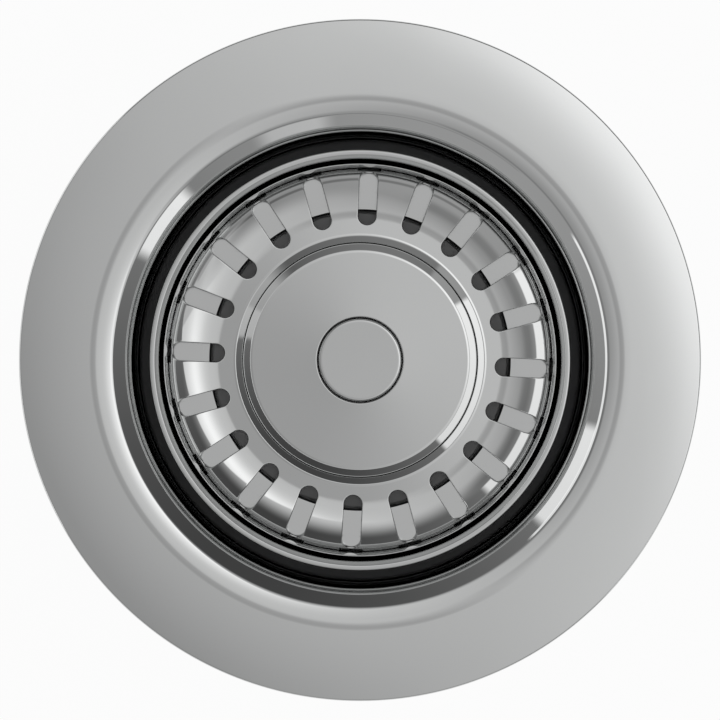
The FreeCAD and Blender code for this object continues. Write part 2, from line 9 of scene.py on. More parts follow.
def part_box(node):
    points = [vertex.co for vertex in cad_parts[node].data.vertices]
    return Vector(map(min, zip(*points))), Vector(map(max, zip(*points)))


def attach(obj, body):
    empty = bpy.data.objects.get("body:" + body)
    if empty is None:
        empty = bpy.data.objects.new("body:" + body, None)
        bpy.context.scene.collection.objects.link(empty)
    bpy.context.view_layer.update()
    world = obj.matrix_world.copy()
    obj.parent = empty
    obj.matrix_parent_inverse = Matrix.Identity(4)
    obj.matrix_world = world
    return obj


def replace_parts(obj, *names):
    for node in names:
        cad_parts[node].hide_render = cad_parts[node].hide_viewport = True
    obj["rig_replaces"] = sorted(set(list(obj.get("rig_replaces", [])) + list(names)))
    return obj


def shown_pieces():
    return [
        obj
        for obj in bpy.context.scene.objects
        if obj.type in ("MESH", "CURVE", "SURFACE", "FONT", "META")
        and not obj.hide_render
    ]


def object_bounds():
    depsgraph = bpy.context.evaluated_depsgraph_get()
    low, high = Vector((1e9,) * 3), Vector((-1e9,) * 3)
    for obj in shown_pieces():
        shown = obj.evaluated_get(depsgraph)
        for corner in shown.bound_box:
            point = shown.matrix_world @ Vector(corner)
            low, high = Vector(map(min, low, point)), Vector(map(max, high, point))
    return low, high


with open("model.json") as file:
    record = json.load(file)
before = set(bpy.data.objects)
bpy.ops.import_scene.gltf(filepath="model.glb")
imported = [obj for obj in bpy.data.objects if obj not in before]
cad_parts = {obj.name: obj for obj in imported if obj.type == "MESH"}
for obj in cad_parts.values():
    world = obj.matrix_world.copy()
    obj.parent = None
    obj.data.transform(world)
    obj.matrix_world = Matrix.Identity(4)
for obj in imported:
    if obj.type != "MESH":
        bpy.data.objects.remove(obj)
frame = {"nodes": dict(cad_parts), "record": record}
cad_low, cad_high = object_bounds()

# A push-button basket strainer for a kitchen sink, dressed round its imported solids.
# Lengths are in metres and angles in degrees. Z is the strainer's axis.

# Fineness of the meshes
SLICES = 256
ARC_STEP = math.radians(5)
ARC_LEAST_STEPS = 6
GUARD_INSET = 0.00012
SHARP_ANGLE = math.radians(38)
MERGE_DISTANCE = 0.000002
AXIS_RADIUS = 0.000001
BOWL_HALVINGS = 40

# Strainer body
BODY_SHEET = 0.0008
FLANGE_EDGE_Z = 0.0008
FLANGE_EDGE_RADIUS = 0.0004
FLANGE_FALL_ANGLE = 16.5
CREST_FALL_ANGLE = 7.0
CREST_RADIUS = 0.008
CREST_FLAT = 0.0001
LIP_ANGLE = 17.5
LIP_RADIUS = 0.002
LIP_FLAT = 0.0001
CHAMFER_ANGLE = 41.5
CHAMFER_FLAT = 0.00172
THROAT_EDGE_RADIUS = 0.0003
THROAT_R = 0.0396
THROAT_ANGLE = 52.0
THROAT_RADIUS = 0.012
THROAT_FLAT = 0.0001
THROAT_BEND = 0.0047
LEDGE_FILLET = 0.0002
LEDGE_BEND = 0.0012
WELL_R = 0.0332
WELL_FILLET = 0.0015
SHEET_EDGE = 0.0002

# Basket
BASKET_SHEET = 0.0007
BASKET_HEIGHT = 0.0174
FLOOR_LAND = 0.00285
FLOOR_FALL_ANGLE = 2.0
DISH_RADIUS = 0.0117
DISH_ANGLE = 40.0
DISH_FLAT = 0.0001
WALL_BEND = 0.002
WALL_ANGLE = 3.0
RIM_FLAT = 0.00075
RIM_CHAMFER = 0.00075
GROOVE_DEPTH = 0.0026
GROOVE_LIP = 0.0001
GROOVE_WALL = 0.0005
GROOVE_BACK_DROP = 0.0015
RIM_CREASE = 0.0002
RIM_ROLL = 0.0003
RIM_SKIRT = 0.0006
SLOT_COUNT = 20
SLOT_IN_LAND = 0.0018
SLOT_OUT_LAND = 0.00045
SLOT_WIDTH = 0.0031
SLOT_TURN_ANGLE = 87.2
SLOT_EDGE = 0.00012
RECESS_GAP = 0.004005
RECESS_WALL_RUN = 0.00015
RECESS_BEVEL = 0.00113
RECESS_ANGLE = 34.0
RECESS_EDGE = 0.0002
RECESS_BEAD = 0.00035
BEAD_ANGLE = 17.0
BEAD_EDGE = 0.0002
RECESS_STEP_EDGE = 0.0002
RECESS_FILLET = 0.0005
WEDGE_MARGIN = 0.0009

# Steps of a wedge's mesh: along its ends, round its corners, along a slot, and outwards from it
WEDGE_END_STEPS = 16
WEDGE_CORNER_STEPS = 10
WEDGE_SIDE_STEPS = 20
WEDGE_LAYERS = 10
WEDGE_LAYER_SPREAD = 1.4
SLOT_EDGE_STEPS = 3

# Centre plate and button
PLATE_SHEET = 0.0007
PLATE_EDGE = 0.0012
PLATE_RISE = 0.00025
PLATE_BEND = 0.0001
PLATE_BEAD = 0.00035
PLATE_HOLE_BEND = 0.00015
PLATE_COLLAR_DROP = 0.0024
PLATE_EDGE_ROUNDING = 0.00008
BUTTON_EDGE = 0.0006
BUTTON_SKIRT = 0.00115
BUTTON_TOP = 0.0012
BOSS_WALL = 0.0012
BOSS_DROP = 0.003

# Rings and plug
SEAT_RING_ROUNDING = 0.0005
GASKET_ROUNDING = 0.0003
WASHER_ROUNDING = 0.0006
METAL_EDGE = 0.00015
CARRIER_EDGE = 0.0005
CARRIER_DISC = 0.0022
CARRIER_CUP_WALL = 0.0018
CARRIER_CUP_FLOOR = 0.002
CARRIER_LIP = 0.002
CARRIER_LIP_THICK = 0.0012
PLUG_SEAL_ROUNDING = 0.0008
RING_SEAL_SIDES = 24

# Outlet, nuts and clamping cup
OUTLET_NECK_R = 0.0219
OUTLET_LIP_R = 0.0236
OUTLET_LIP_THICK = 0.0008
OUTLET_CHAMFER = 0.0006
OUTLET_END = 0.004
OUTLET_END_R = 0.022
SHOULDER_THICK = 0.0025
THREAD_CORE_R = 0.0224
THREAD_CREST_R = 0.0239
THREAD_PITCH = 0.002309
THREAD_ROOT_WIDTH = 0.0013
THREAD_CREST_WIDTH = 0.0005
THREAD_ROOT_SINK = 0.0002
THREAD_GAP = 0.0004
THREAD_STEPS_PER_TURN = 96
CUP_SHEET = 0.0009
CUP_WALL_R = 0.043
CUP_WALL_ANGLE = 4.0
CUP_RIM_BEND = 0.002
CUP_FILLET = 0.006
BACK_NUT_FLATS = 0.058
BACK_NUT_COLLAR = 0.002
BACK_NUT_COLLAR_R = 0.0295
SLEEVE_NUT_FLATS = 0.0242
NUT_CHAMFER_ANGLE = 30.0
NUT_CHAMFER_SHARE = 0.55
NUT_CORNER = 0.0006
NUT_FLAT_STEP = 0.0012
NUT_SIDES = 6

# Return spring
SPRING_WIRE = 0.0007
SPRING_TURNS = 5
SPRING_STEPS_PER_TURN = 48
SPRING_WIRE_SIDES = 16

# Camera, from the photograph's framing
PHOTO_HALF_PX = 360
FLANGE_PX = 341
CAMERA_DISTANCE = 5.0
CLIP_DISTANCE = 20.0
SENSOR_WIDTH_MM = 36.0

# Marks on the finishes: each noise's detail, the range of it that shows, and the strokes' turn and stretch
LINES_DETAIL = 3.0
SMEAR_DETAIL = 4.0
SMEAR_RANGE = (0.42, 0.72)
SCRATCH_DETAIL = 2.0
SCRATCH_RANGE = (0.66, 0.74)
SCRATCH_STROKES = [(0.4, 28.0), (1.9, 36.0)]
GRAIN_DETAIL = 2.0
BLOOM_DETAIL = 5.0
BLOOM_RANGE = (0.45, 0.75)
POLISH_ROUGHNESS = 0.03
POLISH_SMEAR = 0.02
POLISH_SCRATCH = 0.03

# Places of a Mix node's two colours among its inputs, and of its colour among its outputs
MIX_FIRST = 6
MIX_SECOND = 7
MIX_RESULT = 2

# Floor
FLOOR_HALF = 10.0
FLOOR_GLOW = 0.95
FLOOR_COLOUR = (0.8, 0.8, 0.8, 1.0)

# Studio room and window: levels, turns, and ranges of place or elevation with the levels that they lead to
LEAST_HEIGHT = 0.05
HORIZON_LEVEL = 0.28
HORIZON_SWING = 0.2
HORIZON_DARK_TURN = 60.0
DOME_LEVEL = 0.72
DOME_GAIN = 0.47
DOME_LOW = -0.6
DOME_HIGH = 0.3
DOME_START = (25.0, 58.0)
OVERHEAD_STEP = (-0.05, 0.05, -0.18, 0.02)
OVERHEAD_START = (75.0, 82.0)
WINDOW_TURN = 30.0
WINDOW_RISE = (0.25, 0.85, 0.0, 0.75)
WINDOW_EDGES = [
    (90.0, (0.66, 0.74, 1.0, 0.0)),
    (52.0, (1.06, 1.16, 1.0, 0.0)),
    (90.0, (-0.46, -0.4, 0.62, 1.0)),
]
WINDOW_FOOT = (18.0, 21.0)

# Soft panels round the studio: name, azimuth, half width, elevation, half height, softness and strength
PANELS = [
    ("left card", 172.0, 38.0, 19.5, 10.5, 1.5, 0.9),
    ("gap over the left card", 190.0, 60.0, 44.0, 8.0, 6.0, -0.14),
    ("left card's foot", 151.0, 13.0, 4.0, 6.0, 1.5, 0.9),
    ("low gap", 282.0, 52.0, 22.0, 2.5, 1.5, -0.2),
    ("far lamp", 325.0, 9.0, 5.0, 5.0, 2.0, 1.0),
    ("far corner", 286.0, 8.0, 7.0, 5.0, 3.0, 0.3),
]


def tangent(angle):
    return math.tan(math.radians(angle))


def cosine(angle):
    return math.cos(math.radians(angle))


def sine(angle):
    return math.sin(math.radians(angle))


def slope(angle):
    """A step of length 1 outwards, up a slope."""
    return Vector((cosine(angle), sine(angle)))


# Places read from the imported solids
def low_z(node):
    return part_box(node)[0].z


def high_z(node):
    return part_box(node)[1].z


def vertex_radii(node):
    return [v.co.xy.length for v in frame["nodes"][node].data.vertices]


def bore_r(node):
    return min(vertex_radii(node))


def outer_r(node):
    return max(vertex_radii(node))


# Outlines: points are radius and height
def corner_arc(before, corner, after, radius):
    """Points of the arc that rounds a corner."""
    back = (before - corner).normalized()
    ahead = (after - corner).normalized()
    half = back.angle(ahead) / 2
    centre = corner + (back + ahead).normalized() * (radius / math.sin(half))
    spoke = corner + back * (radius / math.tan(half)) - centre
    turn = math.pi - 2 * half
    steps = max(ARC_LEAST_STEPS, math.ceil(turn / ARC_STEP))
    if back.x * ahead.y > back.y * ahead.x:
        turn = -turn
    return [centre + Matrix.Rotation(turn * k / steps, 2) @ spoke for k in range(steps + 1)]


def guard_points(start, end):
    """Two points just inside a straight run, which keep its shading flat."""
    run = end - start
    inset = run.normalized() * min(GUARD_INSET, run.length / 3)
    return [start + inset, end - inset]


def rounded(points, radii, closed=True):
    """Points along straight runs, with each corner rounded by its radius."""
    points = [Vector(p) for p in points]
    count = len(points)
    stops = []
    for i, radius in enumerate(radii):
        is_end = not closed and i in (0, count - 1)
        if is_end or radius <= 0:
            stops.append([points[i]])
        else:
            stops.append(corner_arc(points[i - 1], points[i], points[(i + 1) % count], radius))
    path = []
    for i, stop in enumerate(stops):
        path += stop
        if closed or i < count - 1:
            path += guard_points(stop[-1], stops[(i + 1) % count][0])
    return path


def left_offset(points, distance):
    """The points of the same path, moved to its left by a distance."""
    runs = [(b - a).normalized() for a, b in zip(points, points[1:])]
    lefts = [Vector((-run.y, run.x)) for run in runs]
    moved = [points[0] + lefts[0] * distance]
    for point, first, second in zip(points[1:], lefts, lefts[1:]):
        moved.append(point + (first + second) * (distance / (1 + first.dot(second))))
    moved.append(points[-1] + lefts[-1] * distance)
    return moved


def sheet_corners(points, radii, sheet):
    """Corners and radii of a sheet's far face, which lies to the left of its visible face's points."""
    points = [Vector(p) for p in points]
    back_radii = [0]
    for i, radius in enumerate(radii[1:-1], 1):
        before = points[i] - points[i - 1]
        after = points[i + 1] - points[i]
        turns_left = before.x * after.y > before.y * after.x
        back_radii.append(max(radius - sheet, 0) if turns_left else radius + sheet)
    return left_offset(points, sheet), back_radii + [0]


def sheet_outline(points, radii, sheet):
    """The closed outline of a pressed sheet with eased edges."""
    back, back_radii = sheet_corners(points, radii, sheet)
    front_radii = [SHEET_EDGE, *radii[1:-1], SHEET_EDGE]
    back_radii = [SHEET_EDGE, *back_radii[1:-1], SHEET_EDGE]
    return rounded([*points, *reversed(back)], [*front_radii, *reversed(back_radii)])


# Meshes
def mesh_object(name, corners, faces):
    mesh = bpy.data.meshes.new(name)
    mesh.from_pydata(corners, [], faces)
    mesh.update()
    piece = bpy.data.objects.new(name, mesh)
    bpy.context.scene.collection.objects.link(piece)
    smooth(mesh)
    return piece


def smooth(mesh):
    """Even shading, with true edges kept."""
    mesh.shade_smooth()
    mesh.set_sharp_from_angle(angle=SHARP_ANGLE)


def turned(name, path, slices=SLICES):
    """A closed outline, turned about Z."""
    area = sum(a.x * b.y - b.x * a.y for a, b in zip(path, path[1:] + path[:1]))
    if area < 0:
        path = path[::-1]
    corners = []
    rings = []
    for point in path:
        count = 1 if point.x < AXIS_RADIUS else slices
        rings.append([len(corners) + k % count for k in range(slices + 1)])
        for k in range(count):
            turn = 2 * math.pi * k / slices
            corners.append((point.x * math.cos(turn), point.x * math.sin(turn), point.y))
    faces = []
    for a, b in zip(rings, rings[1:] + rings[:1]):
        for k in range(slices):
            face = list(dict.fromkeys((a[k], a[k + 1], b[k + 1], b[k])))
            if len(face) > 2:
                faces.append(face)
    return mesh_object(name, corners, faces)


def ring_corners(node):
    """The corners of a plain ring with the reach of a CAD node: low and inside, then outwards and up."""
    in_r, out_r = bore_r(node), outer_r(node)
    low, high = low_z(node), high_z(node)
    return [(in_r, low), (out_r, low), (out_r, high), (in_r, high)]


def make_ring(name, node, rounding):
    corners = ring_corners(node)
    return turned(name, rounded(corners, [rounding] * len(corners)))


def outward(piece):
    """Merges doubles and turns every face of a closed mesh outwards."""
    work = bmesh.new()
    work.from_mesh(piece.data)
    bmesh.ops.remove_doubles(work, verts=work.verts, dist=MERGE_DISTANCE)
    bmesh.ops.recalc_face_normals(work, faces=work.faces)
    work.to_mesh(piece.data)
    work.free()
    smooth(piece.data)
    return piece


def joined(piece, *others):
    """Adds the other meshes to a piece's own."""
    work = bmesh.new()
    for part in (piece, *others):
        work.from_mesh(part.data)
    work.to_mesh(piece.data)
    work.free()
    for part in others:
        bpy.data.objects.remove(part)
    smooth(piece.data)
    return piece


# Node trees for shapes that repeat or follow a path
def shape_tree(name, inputs):
    """An empty tree with named inputs and a material, the inputs' identifiers and their sockets."""
    tree = bpy.data.node_groups.new(name, "GeometryNodeTree")
    tree.interface.new_socket("Geometry", in_out="INPUT", socket_type="NodeSocketGeometry")
    tree.interface.new_socket("Geometry", in_out="OUTPUT", socket_type="NodeSocketGeometry")
    keys = {}
    for label, kind in {**inputs, "Material": "Material"}.items():
        socket = tree.interface.new_socket(label, in_out="INPUT", socket_type=f"NodeSocket{kind}")
        keys[label] = socket.identifier
    return tree, keys, add_node(tree, "NodeGroupInput").outputs


def add_node(tree, kind, inputs=None, **settings):
    """A node with settings, and with inputs that are linked to sockets or set to values."""
    node = tree.nodes.new(kind)
    for key, value in settings.items():
        setattr(node, key, value)
    for key, value in (inputs or {}).items():
        if isinstance(value, bpy.types.NodeSocket):
            tree.links.new(value, node.inputs[key])
        else:
            node.inputs[key].default_value = value
    return node


def made(tree, kind, inputs=None, **settings):
    """The first output of a new node."""
    return add_node(tree, kind, inputs, **settings).outputs[0]


def math_node(tree, operation, *values):
    return made(tree, "ShaderNodeMath", dict(enumerate(values)), operation=operation)


def end_tree(tree, geometry, material):
    """Realize Instances and Set Material, then the tree's output."""
    realized = made(tree, "GeometryNodeRealizeInstances", {"Geometry": geometry})
    painted = made(tree, "GeometryNodeSetMaterial", {"Geometry": realized, "Material": material})
    add_node(tree, "NodeGroupOutput", {"Geometry": painted})


def round_axis_tree():
    """Copies of a wedge, turned about Z and merged into one shell."""
    inputs = {"Count": "Int", "Start Angle": "Float", "Merge Distance": "Float"}
    tree, keys, given = shape_tree("Wedges round the axis", inputs)
    index = made(tree, "GeometryNodeInputIndex")
    step = math_node(tree, "DIVIDE", 2 * math.pi, given["Count"])
    turn = math_node(tree, "MULTIPLY_ADD", index, step, given["Start Angle"])
    euler = made(tree, "ShaderNodeCombineXYZ", {"Z": turn})
    places = {
        "Points": made(tree, "GeometryNodePoints", {"Count": given["Count"]}),
        "Instance": given["Geometry"],
        "Rotation": made(tree, "FunctionNodeEulerToRotation", {0: euler}),
    }
    copies = made(tree, "GeometryNodeInstanceOnPoints", places)
    realized = made(tree, "GeometryNodeRealizeInstances", {"Geometry": copies})
    seams = {"Geometry": realized, "Distance": given["Merge Distance"]}
    end_tree(tree, made(tree, "GeometryNodeMergeByDistance", seams), given["Material"])
    return tree, keys


HELIX_INPUTS = {
    "Turns": "Float",
    "Rise": "Float",
    "Radius": "Float",
    "Steps": "Int",
    "Start Height": "Float",
}


def helix_nodes(tree, given):
    """A right-hand helix about Z from a tree's Turns, Rise, Radius, Steps and Start Height."""
    sizes = {
        "Resolution": given["Steps"],
        "Rotations": given["Turns"],
        "Start Radius": given["Radius"],
        "End Radius": given["Radius"],
        "Height": given["Rise"],
    }
    spiral = made(tree, "GeometryNodeCurveSpiral", sizes)
    place = made(tree, "ShaderNodeCombineXYZ", {"Z": given["Start Height"]})
    raised = made(tree, "GeometryNodeTransform", {"Geometry": spiral, "Translation": place})
    return made(tree, "GeometryNodeSetCurveNormal", {"Curve": raised}, mode="Z_UP")


def swept(tree, given, section):
    """A section along the tree's helix, closed at its ends."""
    inputs = {"Curve": helix_nodes(tree, given), "Profile Curve": section, "Fill Caps": True}
    end_tree(tree, made(tree, "GeometryNodeCurveToMesh", inputs), given["Material"])


def thread_tree():
    """A thread ridge of trapezoid section along a helix."""
    inputs = {**HELIX_INPUTS, "Depth": "Float", "Root Width": "Float", "Crest Width": "Float"}
    tree, keys, given = shape_tree("Thread ridge", inputs)
    corners = [
        (0.0, "Root Width", -0.5),
        (given["Depth"], "Crest Width", -0.5),
        (given["Depth"], "Crest Width", 0.5),
        (0.0, "Root Width", 0.5),
    ]
    points = {}
    for i, (reach, width, share) in enumerate(corners, 1):
        aside = math_node(tree, "MULTIPLY", given[width], share)
        points[f"Point {i}"] = made(tree, "ShaderNodeCombineXYZ", {"X": reach, "Y": aside})
    swept(tree, given, made(tree, "GeometryNodeCurvePrimitiveQuadrilateral", points, mode="POINTS"))
    return tree, keys


def wire_tree():
    """A round wire along a helix."""
    tree, keys, given = shape_tree("Spring wire", {**HELIX_INPUTS, "Wire": "Float", "Sides": "Int"})
    radius = math_node(tree, "MULTIPLY", given["Wire"], 0.5)
    circle = {"Resolution": given["Sides"], "Radius": radius}
    swept(tree, given, made(tree, "GeometryNodeCurvePrimitiveCircle", circle))
    return tree, keys


def grown(name, start, tree_and_keys, values):
    """The plain mesh that a tree makes from a starting object."""
    tree, keys = tree_and_keys
    modifier = start.modifiers.new("shape", "NODES")
    modifier.node_group = tree
    for label, value in values.items():
        modifier[keys[label]] = value
    bpy.context.view_layer.update()
    graph = bpy.context.evaluated_depsgraph_get()
    mesh = bpy.data.meshes.new_from_object(start.evaluated_get(graph))
    bpy.data.objects.remove(start)
    mesh.name = name
    piece = bpy.data.objects.new(name, mesh)
    bpy.context.scene.collection.objects.link(piece)
    return outward(piece)


# Shared shader groups
def shader_group(name, inputs, outputs):
    """An empty group with numbers in and out, its inputs' sockets, and the object's own coordinates."""
    tree = bpy.data.node_groups.new(name, "ShaderNodeTree")
    for label, value in inputs.items():
        socket = tree.interface.new_socket(label, in_out="INPUT", socket_type="NodeSocketFloat")
        socket.default_value = value
    for label in outputs:
        tree.interface.new_socket(label, in_out="OUTPUT", socket_type="NodeSocketFloat")
    place = add_node(tree, "ShaderNodeTexCoord").outputs["Object"]
    return tree, add_node(tree, "NodeGroupInput").outputs, place


def ranged(tree, value, low, high, out_low=0.0, out_high=1.0):
    """A smooth step of a value from one range to another."""
    inputs = {"Value": value, "From Min": low, "From Max": high, "To Min": out_low, "To Max": out_high}
    node = add_node(tree, "ShaderNodeMapRange", inputs, interpolation_type="SMOOTHSTEP")
    return node.outputs["Result"]


def noise(tree, vector, scale, detail):
    inputs = {"Vector": vector, "Scale": scale, "Detail": detail}
    return add_node(tree, "ShaderNodeTexNoise", inputs).outputs["Fac"]


def turning_lines_group():
    """Fine rings round the axis, as a lathe or a polishing wheel leaves them."""
    tree, given, place = shader_group("turning lines", {"Scale": 4000.0, "Drift": 0.02}, ["Lines"])
    split = add_node(tree, "ShaderNodeSeparateXYZ", {0: place}).outputs
    flat = made(tree, "ShaderNodeCombineXYZ", {"X": split["X"], "Y": split["Y"]})
    radius = add_node(tree, "ShaderNodeVectorMath", {0: flat}, operation="LENGTH").outputs["Value"]
    across = made(tree, "ShaderNodeCombineXYZ", {"X": radius, "Y": split["Z"]})
    drift = made(tree, "ShaderNodeVectorMath", {0: flat, "Scale": given["Drift"]}, operation="SCALE")
    moved = made(tree, "ShaderNodeVectorMath", {0: across, 1: drift}, operation="ADD")
    add_node(tree, "NodeGroupOutput", {"Lines": noise(tree, moved, given["Scale"], LINES_DETAIL)})
    return tree


def handling_group():
    """Soft smears and short hair scratches."""
    inputs = {"Smear Scale": 30.0, "Scratch Scale": 60.0}
    tree, given, place = shader_group("handling marks", inputs, ["Smear", "Scratch"])
    smear = ranged(tree, noise(tree, place, given["Smear Scale"], SMEAR_DETAIL), *SMEAR_RANGE)
    strokes = []
    for turn, stretch in SCRATCH_STROKES:
        stroke = {"Vector": place, "Rotation": (0.0, 0.0, turn), "Scale": (1.0, stretch, 1.0)}
        stretched = made(tree, "ShaderNodeMapping", stroke)
        hair = noise(tree, stretched, given["Scratch Scale"], SCRATCH_DETAIL)
        strokes.append(ranged(tree, hair, *SCRATCH_RANGE))
    add_node(tree, "NodeGroupOutput", {"Smear": smear, "Scratch": math_node(tree, "MAXIMUM", *strokes)})
    return tree


def moulded_group():
    """The fine grain of a moulded surface, and a pale bloom over it."""
    inputs = {"Grain Scale": 3000.0, "Bloom Scale": 90.0}
    tree, given, place = shader_group("moulded skin", inputs, ["Grain", "Bloom"])
    grain = noise(tree, place, given["Grain Scale"], GRAIN_DETAIL)
    bloom = ranged(tree, noise(tree, place, given["Bloom Scale"], BLOOM_DETAIL), *BLOOM_RANGE)
    add_node(tree, "NodeGroupOutput", {"Grain": grain, "Bloom": bloom})
    return tree


GROUPS = {
    "turning lines": turning_lines_group(),
    "handling marks": handling_group(),
    "moulded skin": moulded_group(),
}


# Finishes
def finish(name, metallic=0.0):
    """A new material, its tree and its shader."""
    material = bpy.data.materials.new(name)
    material.use_nodes = True
    shader = material.node_tree.nodes["Principled BSDF"]
    shader.inputs["Metallic"].default_value = metallic
    return material, material.node_tree, shader


def placed(tree, group, **values):
    """The outputs of a shared group, with values of its own."""
    node = add_node(tree, "ShaderNodeGroup", node_tree=GROUPS[group])
    for label, value in values.items():
        node.inputs[label.replace("_", " ")].default_value = value
    return node.outputs


def tinted(tree, shader, mask, first, second):
    """Base colour that goes from one tone to another with a mask."""
    inputs = {"Factor": mask, MIX_FIRST: (*first, 1.0), MIX_SECOND: (*second, 1.0)}
    blend = add_node(tree, "ShaderNodeMix", inputs, data_type="RGBA")
    tree.links.new(blend.outputs[MIX_RESULT], shader.inputs["Base Color"])


def roughened(tree, shader, mask, low, high, start=0.0, end=1.0):
    """Roughness that goes from low to high as a mask goes from start to end."""
    tree.links.new(ranged(tree, mask, start, end, low, high), shader.inputs["Roughness"])


def bumped(tree, shader, height, strength, distance):
    bump = made(tree, "ShaderNodeBump", {"Strength": strength, "Distance": distance, "Height": height})
    tree.links.new(bump, shader.inputs["Normal"])


def polished_steel():
    """Mirror-polished stainless steel with faint smears and hair scratches."""
    material, tree, shader = finish("polished steel", metallic=1.0)
    marks = placed(tree, "handling marks", Smear_Scale=26.0, Scratch_Scale=70.0)
    tinted(tree, shader, marks["Smear"], (0.602, 0.608, 0.606), (0.588, 0.594, 0.592))
    smeared = math_node(tree, "MULTIPLY_ADD", marks["Smear"], POLISH_SMEAR, POLISH_ROUGHNESS)
    scratched = math_node(tree, "MULTIPLY_ADD", marks["Scratch"], POLISH_SCRATCH, smeared)
    tree.links.new(scratched, shader.inputs["Roughness"])
    return material


def satin_steel():
    """Stainless steel with the fine rings of a polishing wheel."""
    material, tree, shader = finish("satin steel", metallic=1.0)
    lines = placed(tree, "turning lines", Scale=5000.0)["Lines"]
    marks = placed(tree, "handling marks", Smear_Scale=40.0)
    tinted(tree, shader, lines, (0.56, 0.565, 0.56), (0.68, 0.685, 0.68))
    roughened(tree, shader, marks["Smear"], low=0.2, high=0.32)
    bumped(tree, shader, lines, strength=0.25, distance=0.00002)
    return material


def spring_steel():
    """Drawn wire, a little dull."""
    material, tree, shader = finish("spring steel", metallic=1.0)
    marks = placed(tree, "handling marks", Smear_Scale=300.0, Scratch_Scale=500.0)
    tinted(tree, shader, marks["Smear"], (0.5, 0.5, 0.49), (0.4, 0.39, 0.37))
    roughened(tree, shader, marks["Scratch"], low=0.24, high=0.4)
    return material


def plated_brass():
    """Nickel-plated brass with turning marks under the plating."""
    material, tree, shader = finish("plated brass", metallic=1.0)
    lines = placed(tree, "turning lines", Scale=2600.0)["Lines"]
    marks = placed(tree, "handling marks", Smear_Scale=50.0)
    tinted(tree, shader, marks["Smear"], (0.74, 0.735, 0.71), (0.68, 0.665, 0.63))
    roughened(tree, shader, lines, low=0.12, high=0.24, start=0.3, end=0.7)
    bumped(tree, shader, lines, strength=0.2, distance=0.00002)
    return material


def black_rubber():
    """Moulded black rubber with a slight bloom."""
    material, tree, shader = finish("black rubber")
    skin = placed(tree, "moulded skin", Grain_Scale=3500.0, Bloom_Scale=120.0)
    tinted(tree, shader, skin["Bloom"], (0.125, 0.127, 0.13), (0.145, 0.147, 0.15))
    roughened(tree, shader, skin["Bloom"], low=0.5, high=0.68)
    bumped(tree, shader, skin["Grain"], strength=0.3, distance=0.00003)
    return material


def pale_polyethylene():
    """Waxy pale plastic."""
    material, tree, shader = finish("pale polyethylene")
    skin = placed(tree, "moulded skin", Grain_Scale=1500.0, Bloom_Scale=70.0)
    tinted(tree, shader, skin["Bloom"], (0.79, 0.78, 0.73), (0.74, 0.73, 0.68))
    roughened(tree, shader, skin["Bloom"], low=0.38, high=0.5)
    bumped(tree, shader, skin["Grain"], strength=0.15, distance=0.00003)
    return material


def grey_acetal():
    """Hard grey plastic with a fine moulded grain."""
    material, tree, shader = finish("grey acetal")
    shader.inputs["IOR"].default_value = 1.7
    skin = placed(tree, "moulded skin", Grain_Scale=2500.0, Bloom_Scale=80.0)
    tinted(tree, shader, skin["Bloom"], (0.48, 0.485, 0.49), (0.52, 0.525, 0.53))
    roughened(tree, shader, skin["Bloom"], low=0.12, high=0.2)
    bumped(tree, shader, skin["Grain"], strength=0.2, distance=0.00002)
    return material


FINISHES = {
    "polished_steel": polished_steel(),
    "satin_steel": satin_steel(),
    "spring_steel": spring_steel(),
    "plated_brass": plated_brass(),
    "black_rubber": black_rubber(),
    "pale_polyethylene": pale_polyethylene(),
    "grey_acetal": grey_acetal(),
}
SLOT_OF = {part["node"]: part["material_slot"] for part in frame["record"]["subparts"]}
BODY_OF = {n: body for body, nodes in frame["record"]["behaviour"]["bodies"].items() for n in nodes}


def dress(piece, node):
    """The piece stands for a CAD node, in its finish and on its body."""
    slot = SLOT_OF[node]
    piece.data.materials.clear()
    piece.data.materials.append(FINISHES[slot])
    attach(piece, BODY_OF[node])
    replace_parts(piece, node)
    return piece


# Strainer body and what stays with it
def flange_corners():
    """Corners of the flange from its throat to its dome, and the start and radius of that dome."""
    lip_reach = LIP_RADIUS * tangent((CHAMFER_ANGLE - LIP_ANGLE) / 2)
    crest_reach = CREST_RADIUS * tangent((LIP_ANGLE + CREST_FALL_ANGLE) / 2)
    chamfer_run = THROAT_EDGE_RADIUS * tangent(45 - CHAMFER_ANGLE / 2) + CHAMFER_FLAT + lip_reach
    crest_run = lip_reach + LIP_FLAT + crest_reach
    crest_lift = crest_reach * sine(CREST_FALL_ANGLE) - CREST_RADIUS * (1 - cosine(CREST_FALL_ANGLE))
    fall = Vector((cosine(CREST_FALL_ANGLE), -sine(CREST_FALL_ANGLE)))
    lip_r = THROAT_R + chamfer_run * cosine(CHAMFER_ANGLE)
    crest = Vector((lip_r + crest_run * cosine(LIP_ANGLE), high_z("strainer_body") + crest_lift))
    lip = Vector((lip_r, crest.y - crest_run * sine(LIP_ANGLE)))
    chamfer_reach = THROAT_RADIUS * tangent((THROAT_ANGLE - CHAMFER_ANGLE) / 2)
    throat_run = chamfer_reach + THROAT_FLAT + THROAT_BEND * tangent(45 - THROAT_ANGLE / 2)
    chamfer = lip - slope(CHAMFER_ANGLE) * (lip_reach + CHAMFER_FLAT + chamfer_reach)
    throat = chamfer - slope(THROAT_ANGLE) * throat_run
    dome_start = crest + fall * (crest_reach + CREST_FLAT)
    dome_width = outer_r("strainer_body") - FLANGE_EDGE_RADIUS - dome_start.x
    dome_radius = dome_width / (sine(FLANGE_FALL_ANGLE) - sine(CREST_FALL_ANGLE))
    dome = dome_start + fall * dome_radius * tangent((FLANGE_FALL_ANGLE - CREST_FALL_ANGLE) / 2)
    return chamfer, throat, lip, crest, dome, dome_start, dome_radius


